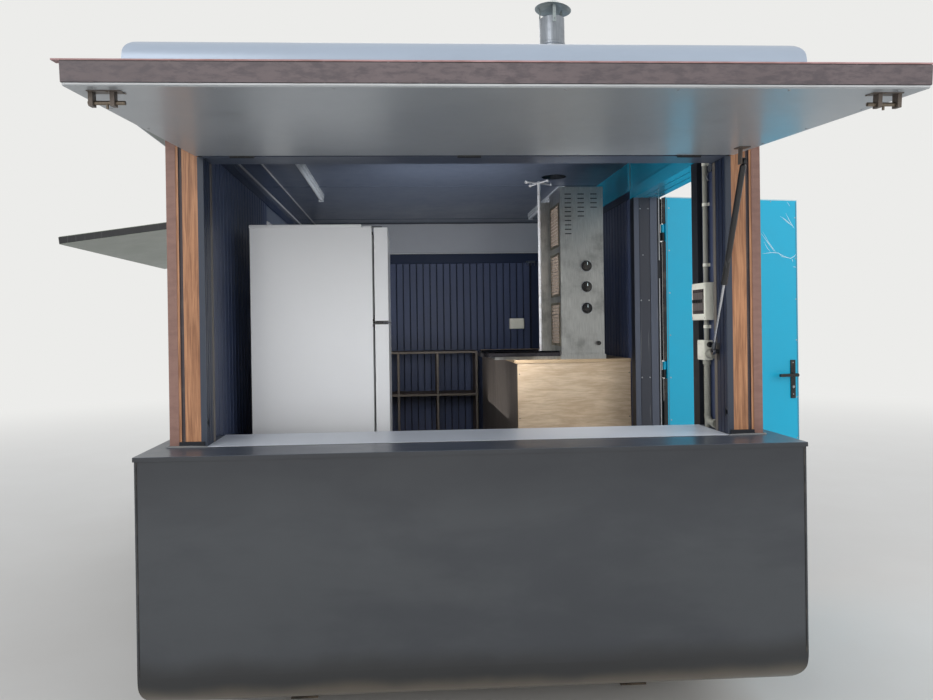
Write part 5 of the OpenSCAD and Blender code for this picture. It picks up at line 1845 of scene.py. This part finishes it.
@dataclass
class Electrics:
    """Breaker window, socket, hose and clips beside the door, and the fittings on the rear wall.

    Attributes:
        pipe: middle line of the upright conduit.
        breaker_x: front face of the upper box.
        lid_x: front face of the lower box.
        module: pitch of the breakers.
    """

    pipe: Span = (1.018, -1.672)
    breaker_x: float = 0.985
    lid_x: float = 0.998
    module: float = 0.0172

    def breaker(self) -> None:
        """Cover, breakers and screws on the upper box."""
        cover, window, bodies, toggles, screws = shapes(5)
        x, step = self.breaker_x, (0, self.module, 0)
        cover.box((x - 0.0030, -1.742, 1.543), (x + 0.0005, -1.608, 1.692), 0.0020, 2)
        window.box((x - 0.0040, -1.731, 1.566), (x - 0.0025, -1.619, 1.669), 0.0006)
        bodies.repeat(bodies.box((x - 0.0064, -1.7265, 1.580), (x - 0.0035, -1.7115, 1.655)), 6, step)
        toggles.repeat(toggles.box((x - 0.0110, -1.7225, 1.612), (x - 0.0060, -1.7155, 1.626)), 6, step)
        for a, b in CORNERS:
            screws.dome((x - 0.0030, -1.675 + a * 0.0615, 1.6175 + b * 0.0685), LEFT, 0.0032, 0.0012, 8)
        cover.piece("breaker_cover", Palette.box, "box_plastic")
        window.piece("breaker_window", Palette.smoked, "box_plastic")
        bodies.piece("breaker_bodies", Palette.breaker, "box_plastic")
        toggles.piece("breaker_toggles", Palette.handle, "box_plastic")
        screws.piece("breaker_screws", Palette.zinc, "box_plastic")

    def socket(self) -> None:
        """Lid and rim of the lower box, its round outlet and its switch."""
        lid, outlet, switch = shapes(3)
        x, hinge = self.lid_x, self.lid_x - 0.0030
        lid.box((hinge, -1.697, 1.376), (x + 0.0005, -1.628, 1.451), 0.0025, 2)
        lid.box((x - 0.0050, -1.690, 1.384), (x - 0.0025, -1.635, 1.436), 0.0015)
        lid.rod((hinge, -1.690, 1.441), (hinge, -1.635, 1.441), 0.0030)
        outlet.lathe([(0.0, 0.0), (0.0200, 0.0), (0.0200, 0.012), (0.0170, 0.015), (0.0170, 0.030), (0.0190, 0.033),
                      (0.0190, 0.044), (0.0150, 0.047), (0.0, 0.047)], (1.0175, -1.6995, 1.399), AHEAD)
        switch.lathe([(0.0, 0.0), (0.0120, 0.0), (0.0115, 0.010), (0.0, 0.012)], (1.0175, -1.6995, 1.437), AHEAD, 18)
        switch.box((1.0040, -1.7200, 1.4325), (1.0290, -1.7105, 1.4405), 0.0025, 2)
        lid.piece("socket_lid", Palette.box, "box_plastic")
        outlet.piece("socket_outlet", Palette.conduit, "box_plastic")
        switch.piece("socket_switch", Palette.handle, "box_plastic")

    def hose(self) -> None:
        """Corrugation rings on the lower pipe, and its elbow into the post."""
        x, y = self.pipe
        rings, elbow = shapes(2)
        ring = [(0.0118, 0.0), (0.0137, 0.0012), (0.0137, 0.0030), (0.0118, 0.0042)]
        rings.repeat(rings.lathe(ring, (x, y, 1.142), UP, 16, True), 32, (0, 0, 0.0070))
        rings.lathe([(0.0118, 1.352), (0.0165, 1.353), (0.0165, 1.370), (0.0118, 1.371)], (x, y, 0), UP, 20, True)
        path = []
        for k in range(22):
            t = k / 21
            bend, run = min(1.0, t * 1.7) * math.pi / 2, max(0.0, t - 0.588) * 0.115
            path.append((x - 0.012 * t, y - 0.045 * (1 - math.cos(bend)) - run, 1.146 - 0.030 * math.sin(bend)))
        elbow.tube(path, [0.0142, 0.0122] * 11, 14)
        collar = [(0.0120, 0.0), (0.0180, 0.0005), (0.0180, 0.012), (0.0120, 0.0125)]
        elbow.lathe(collar, (x - 0.0115, -1.7630, 1.116), AHEAD, 20, True)
        rings.piece("hose_rings", Palette.conduit, "conduit_plastic")
        elbow.piece("hose_elbow", Palette.conduit, "conduit_plastic")

    def clips(self) -> None:
        """Saddles that hold the conduit on the wall, and a hook above the boxes."""
        x, y = self.pipe
        saddles, hook = shapes(2)
        for z in (1.505, 1.765, 2.02, 2.19):
            ring = [(0.0100, z), (0.0122, z + 0.001), (0.0122, z + 0.013), (0.0100, z + 0.014)]
            saddles.lathe(ring, (x, y, 0), UP, 20, True)
            saddles.box((x + 0.008, y - 0.016, z), (CABIN.in_x - 0.002, y + 0.016, z + 0.014), 0.0015)
        rose = [(0.0, 0.0), (0.010, 0.0), (0.016, 0.004), (0.018, 0.010), (0.0, 0.010)]
        hook.lathe(rose, (1.031, -1.715, 2.172), LEFT, 18)
        line = ((1.026, 2.160), (1.014, 2.150), (1.008, 2.135), (1.012, 2.122), (1.022, 2.120))
        hook.tube([(a, -1.715, z) for a, z in line], 0.0028, 8)
        saddles.piece("conduit_saddles", Palette.box, "conduit_plastic")
        hook.piece("wall_hook", Palette.zinc, "box_plastic")

    def rear_fittings(self) -> None:
        """Small box and hook rail on the rear wall."""
        box, rail = shapes(2)
        y = CABIN.in_y - 0.009
        box.box((0.684, y - 0.042, 1.493), (0.815, y, 1.585), 0.004, 2)
        box.box((0.690, y - 0.0445, 1.499), (0.809, y - 0.041, 1.579), 0.003)
        y = CABIN.in_y - 0.014
        rail.box((0.846, y - 0.005, 2.083), (0.926, y, 2.101), 0.002)
        line = ((0.004, 2.094), (0.022, 2.090), (0.032, 2.080), (0.034, 2.068), (0.026, 2.060), (0.018, 2.064))
        for x in (0.856, 0.886, 0.916):
            rail.tube([(x, y - out, z) for out, z in line], [0.003] * 5 + [0.0042], 8)
        box.piece("rear_wall_box", Palette.box, "box_plastic")
        rail.piece("rear_hook_rail", Palette.zinc, "box_plastic")

    def build(self) -> None:
        """Makes all pieces of the electrics."""
        for step in (self.breaker, self.socket, self.hose, self.clips, self.rear_fittings):
            step()


@dataclass
class Fridge:
    """Lid, gaskets, hinge edges, handles and rear grid of the fridge.

    Attributes:
        rear: rear of the cabinet.
        front: front of the cabinet.
        near: near side of the cabinet.
        far: far side of the cabinet.
        face: outer face of the doors.
        low: lower edge of the lower door.
        split: height at which the doors part.
        top: top of the cabinet.
        seal: width of the gaskets.
    """

    rear: float = -0.950
    front: float = -0.400
    near: float = -1.350
    far: float = -0.790
    face: float = -0.328
    low: float = 0.4445
    split: float = 1.548
    top: float = 1.985
    seal: float = 0.014

    def shell(self) -> None:
        """Lid, plinth grille and gaskets."""
        lid, plinth, seals = shapes(3)
        x, far, top = self.front - 0.046, self.far + 0.003, self.top + 0.015
        lid.box((self.rear - 0.003, self.near - 0.003, self.top), (x, far, top), 0.004, 2)
        lid.box((x, self.near + 0.042, self.top), (self.front - 0.001, far, top), 0.004, 2)
        slat = (self.front - 0.002, self.near + 0.02, 0.4255), (self.front + 0.0035, self.far - 0.02, 0.4295)
        plinth.repeat(plinth.box(*slat, 0.001), 3, (0, 0, 0.0060))
        x0, x1, w = self.front - 0.0002, self.front + 0.0046, self.seal
        for z0, z1 in ((self.low + 0.020, self.split - 0.020), (self.split + 0.022, self.top - 0.018)):
            seals.frame((x0, x1), (self.near + 0.0045, self.far - 0.010), (z0, z1), w, 0.0015)
        lid.piece("fridge_lid", Palette.enamel, "white_enamel")
        plinth.piece("fridge_plinth_slats", Palette.rubber, "white_enamel")
        seals.piece("fridge_gaskets", Palette.rubber, "white_enamel")

    def hinges(self) -> None:
        """Dark edges of the hinge plates, and the dark stops beside them in the gap."""
        shape, x, y = Shape(), self.front, self.near
        for z in (self.split, self.top):
            shape.box((x, y, z - 0.0001), (x + 0.048, y + 0.0030, z + 0.0041), 0.0003)
        for z in (self.split - 0.018, self.split + 0.0065, self.top - 0.034):
            shape.box((x - 0.0002, y + 0.0005, z), (x + 0.0064, y + 0.0040, z + 0.014), 0.0005)
        shape.piece("fridge_hinge_edges", Palette.handle, "white_enamel")

    def grid(self) -> None:
        """Wire condenser on the rear face, toward the side wall."""
        shape, x = Shape(), self.rear - 0.012
        for k in range(14):
            z = 0.72 + k * 0.075
            shape.rod((x, self.near + 0.05, z), (x, self.far - 0.05, z), 0.0022, 6)
        foot = (x - 0.003, self.near + 0.06)
        shape.repeat(shape.rod((*foot, 0.68), (*foot, 1.74), 0.0012, 4), 23, (0, 0.020, 0))
        for y in (self.near + 0.07, self.far - 0.07):
            for z in (0.73, 1.69):
                shape.box((x - 0.002, y - 0.008, z), (self.rear + 0.001, y + 0.008, z + 0.014), 0.001)
        shape.piece("fridge_rear_grid", Palette.black_rubber, "white_enamel")

    def doors(self) -> None:
        """Hinge strips, grips on the free edges and end caps of both doors."""
        upper = ("fridge_upper_door", self.split + 0.0045, self.top - 0.0005, 1.60, self.split + 0.0048)
        lower = ("fridge_lower_door", self.low, self.split - 0.0005, 1.28, self.split - 0.0062)
        for body, z0, z1, grip_z, hinge_z in (upper, lower):
            strip, grip, caps = shapes(3)
            x, y, near = self.face, self.far, self.near
            strip.box((x - 0.0615, near - 0.0006, hinge_z), (x - 0.0005, near + 0.0003, hinge_z + 0.0054), 0.0003)
            grip.box((x - 0.046, y - 0.0010, grip_z), (x - 0.020, y + 0.0008, grip_z + 0.20), 0.0006)
            for z in (grip_z + 0.002, grip_z + 0.194):
                grip.box((x - 0.048, y - 0.0010, z), (x - 0.018, y + 0.0014, z + 0.004), 0.0006)
            for z in (z0 - 0.0003, z1 - 0.0097):
                caps.box((x - 0.0595, near + 0.040, z), (x + 0.0010, y + 0.0010, z + 0.010), 0.0004)
            strip.piece(body + "_hinge_strip", Palette.handle, "white_enamel", body)
            grip.piece(body + "_grip", Palette.rubber, "white_enamel", body)
            caps.piece(body + "_end_caps", Palette.cool_plastic, "white_enamel", body)

    def build(self) -> None:
        """Makes all pieces of the fridge."""
        for step in (self.shell, self.hinges, self.grid, self.doors):
            step()


@dataclass
class Cabinet:
    """Face panels and edge bands of the plywood cabinet and of the rear shelves.

    Attributes:
        x: left and right side.
        y: front and rear.
        top: height of the worktop.
    """

    x: Span = (0.378, 1.028)
    y: Span = (-0.610, 1.230)
    top: float = 1.330

    def build(self) -> None:
        """Makes the front panel, the side panels dark with painted shade, the bands of both tops and shelves, and the
        screws.
        """
        front, side, band, screws, shelf = shapes(5)
        (x0, x1), (y0, y1), low, high = self.x, self.y, CABIN.floor + 0.004, self.top - 0.0195
        front.box((x0 + 0.001, y0 - 0.0028, low), (x1 - 0.001, y0, high))
        # side panels: dark finish that paints the shade on the cabinet's side
        for a, b in ((y0 + 0.001, 0.390), (0.394, y1 - 0.001)):
            side.box((x0 - 0.0026, a, low), (x0, b, high))
        low, high = self.top - 0.0178, self.top - 0.0002
        band.boxes(0.0003, (x0 - 0.0128, y0 - 0.0090, low, x1, y0 - 0.0078, high),
                   (x0 - 0.0131, y0 - 0.0085, low, x0 - 0.0119, y1, high))
        for x in (x0 + 0.010, x1 - 0.010):
            screws.heads((x, y0 - 0.0028, 0.50), (0, 0, 0.25), 4, AHEAD, 0.0036, 0.0010, 8)
        for z in (0.520, 0.930, 1.292):
            shelf.box((-0.9915, 1.4884, z), (0.3635, 1.4902, z + 0.018), 0.0004)
        for k in range(5):
            x = -0.992 + k * (1.356 - 0.018) / 4
            shelf.box((x + 0.0002, 1.4887, 0.402), (x + 0.0178, 1.4902, 1.2915), 0.0004)
        front.piece("cabinet_front_panel", Palette.ply_flat, "plywood")
        side.piece("cabinet_side_panels", Palette.shaded_ply, "plywood")
        band.piece("cabinet_edge_bands", Palette.top_edge, "plywood")
        screws.piece("cabinet_screws", Palette.zinc_dull, "plywood")
        shelf.piece("shelf_edge_bands", Palette.ply_edge, "brown_board")


@dataclass
class Grill:
    """Burners, drip pan, knob marks and seams of the upright grill, and the spit's ball ends.

    Attributes:
        x: sides of the column.
        y: front and rear of the column.
        foot: height of the cabinet's top.
        spit: axis of the spit.
        handles: height of the spit's crossed handles.
        knobs: X of the knobs.
        pan: left, right, front and rear of the drip pan, and the radius of its corners.
    """

    x: Span = (0.634, 0.882)
    y: Span = (-0.600, -0.310)
    foot: float = 1.330
    spit: Span = (0.550, -0.420)
    handles: float = 2.3663
    knobs: float = 0.782
    pan: tuple = (0.176, 0.6255, -0.600, -0.3165, 0.070)

    def burners(self) -> None:
        """Three burner panels with mesh bars on the side of the spit."""
        frames, tiles, bars = shapes(3)
        x, y0, y1 = self.x[0], self.y[0] + 0.028, self.y[1] - 0.030
        for z in (1.405, 1.690, 1.975):
            # tiles: their dark tone is partly painted shade of the column's side face
            tiles.box((x - 0.0012, y0 + 0.012, z + 0.012), (x + 0.0005, y1 - 0.012, z + 0.238), 0.0004)
            frames.frame((x - 0.0040, x + 0.0005), (y0, y1), (z, z + 0.250), 0.014, 0.0008)
            bar = bars.rod((x - 0.0026, y0 + 0.013, z + 0.030), (x - 0.0026, y1 - 0.013, z + 0.030), 0.0012, 5)
            bars.repeat(bar, 11, (0, 0, 0.019))
        frames.piece("burner_frames", Palette.greasy, "stainless")
        tiles.piece("burner_tiles", Palette.ceramic, "stainless")
        bars.piece("burner_guard_bars", Palette.stainless, "stainless")

    def drip_pan(self) -> None:
        """Dark drip pan round the spit's foot, open toward the column."""
        walls, rim, floor = shapes(3)
        x0, x1, y0, y1, r = self.pan
        line = [(x1, y0)]
        for x, y, start in ((x0 + r, y0 + r, 270), (x0 + r, y1 - r, 180)):
            line += [(x + r * c, y + r * s) for c, s in (around(start - k * 15) for k in range(7))]
        line.append((0.556, y1))
        low = self.foot + 0.019
        verts = [walls.bm.verts.new((a, b, low)) for a, b in line]
        edges = [walls.bm.edges.new(pair) for pair in zip(verts, verts[1:])]
        made = bmesh.ops.extrude_edge_only(walls.bm, edges=edges)
        bmesh.ops.translate(walls.bm, vec=(0, 0, 0.024), verts=new_verts(made))
        bmesh.ops.solidify(walls.bm, geom=walls.bm.faces[:], thickness=0.0012)
        rim.tube([(a, b, low + 0.026) for a, b in line], 0.0052, 8)
        inner = [(a, b, low) for a, b in line if a < 0.45] + [(0.462, y1, low), (0.462, y0, low)]
        floor.prism(inner, (0, 0, 0.0012))
        walls.piece("drip_pan_walls", Palette.pan, "stainless")
        rim.piece("drip_pan_rim", Palette.pan, "stainless")
        floor.piece("drip_pan_floor", Palette.pan, "stainless")

    def column(self) -> None:
        """Corner seams, cover screws, a black sheet that paints the shade behind the vents, rims and pointers on the
        column.
        """
        folds, screws, vent_shade, marks, rings = shapes(5)
        (x0, x1), y, back, low = self.x, self.y[0], self.y[0] + 0.0003, self.foot + 0.030
        top = self.foot + 0.978
        folds.boxes(0.0006, (x0 + 0.0005, y - 0.0014, low, x0 + 0.014, back, top),
                    (x1 - 0.014, y - 0.0014, low, x1 - 0.0005, back, top),
                    (x0 + 0.014, y - 0.0014, top - 0.014, x1 - 0.014, back, top))
        folds.box((x0 + 0.014, y - 0.0012, low), (x1 - 0.014, back, low + 0.006), 0.0005)
        for x in (x0 + 0.0075, x1 - 0.0075):
            screws.heads((x, y - 0.0012, self.foot + 0.060), (0, 0, 0.215), 5, AHEAD, 0.0034, 0.0014, 8)
        # black sheet just inside the front wall behind the vent slots: painted shade of the column's inside, seen
        # through them
        vent_shade.box((x0 + 0.020, y + 0.0032, 2.020), (x1 - 0.012, y + 0.0044, 2.290), 0.0004)
        for z in (1.619, 1.741, 1.859):
            x = self.knobs
            marks.box((x - 0.0015, y - 0.0278, z + 0.004), (x + 0.0015, y - 0.0258, z + 0.0205), 0.0004)
            ring = [(0.0300, 0.0002), (0.0335, 0.0002), (0.0330, 0.0016), (0.0300, 0.0022)]
            rings.lathe(ring, (x, y, z), AHEAD, 28, True)
            for k in range(9):
                c, s = around(40 + k * 31)
                a, b = x + 0.0375 * s, z + 0.0375 * c
                marks.box((a - 0.0010, y - 0.0006, b - 0.0010), (a + 0.0010, y + 0.0002, b + 0.0010), 0.0002)
        folds.piece("column_folds", Palette.stainless, "stainless")
        screws.piece("column_screws", Palette.zinc, "stainless")
        vent_shade.piece("column_vent_backing", Palette.handle, "stainless")
        marks.piece("knob_marks", Palette.scratch, "black_plastic")
        rings.piece("knob_rings", Palette.zinc, "stainless")

    def spit_ends(self) -> None:
        """Ball ends on the crossed handles, and the collars on the spit."""
        shape, (x, y), z = Shape(), self.spit, self.handles
        side = [(0.0055, 0.0085), (0.0092, 0.0040)]
        ball = [(0.0, -0.010), *((r, -h) for r, h in side), (0.0100, 0.0), *side[::-1], (0.0, 0.010)]
        for turn in range(4):
            c, s = around(25 + 90 * turn)
            shape.lathe(ball, (x + 0.088 * c, y + 0.088 * s, z), (c, s, 0), 16)
        collar = [(0.0088, 0.0), (0.0160, 0.001), (0.0160, 0.014), (0.0120, 0.020), (0.0088, 0.020)]
        shape.lathe(collar, (x, y, self.foot + 0.0263), UP, 24, True)
        ring = [(0.0088, 0.0), (0.0135, 0.001), (0.0135, 0.012), (0.0088, 0.013)]
        shape.lathe(ring, (x, y, z - 0.006), UP, 20, True)
        shape.piece("spit_ball_ends", Palette.spit, "bright_steel", "grill_spit")

    def build(self) -> None:
        """Makes all pieces of the grill."""
        for step in (self.burners, self.drip_pan, self.column, self.spit_ends):
            step()


def main() -> None:
    """Builds the stage, dresses the nodes and makes the pieces in order."""
    logging.basicConfig(level=logging.INFO, format="%(message)s")
    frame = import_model()
    Stage().build()
    dress_nodes(frame)
    builders = (
        Lining(), Siding(), Tub(), RoofCap(), Ceiling(),
        FrontFlap("front_flap", (0.0, -1.912, 2.178), 4.7, 0.0, 2.050, 1.060, 0.050, Palette.flap),
        Flap("left_flap", (-1.150, 0.350, 2.150), 7.5, -90.0, 1.760, 1.030, 0.040, Palette.left_flap),
        Strut("front_strut", (0.980, -1.820, 1.413), (0.980, -2.10033, 2.11335)),
        Strut("left_strut", (-1.058, 1.176, 1.385), (-1.33495, 1.176, 2.07623)),
        Door(), Doorway(), Electrics(), Fridge(), Cabinet(), Grill(),
    )
    for builder in builders:
        before = len(_pieces)
        builder.build()
        for name in _pieces[before:]:
            log.info("%s: %s", type(builder).__name__, name)


if __name__ == "__main__":
    main()
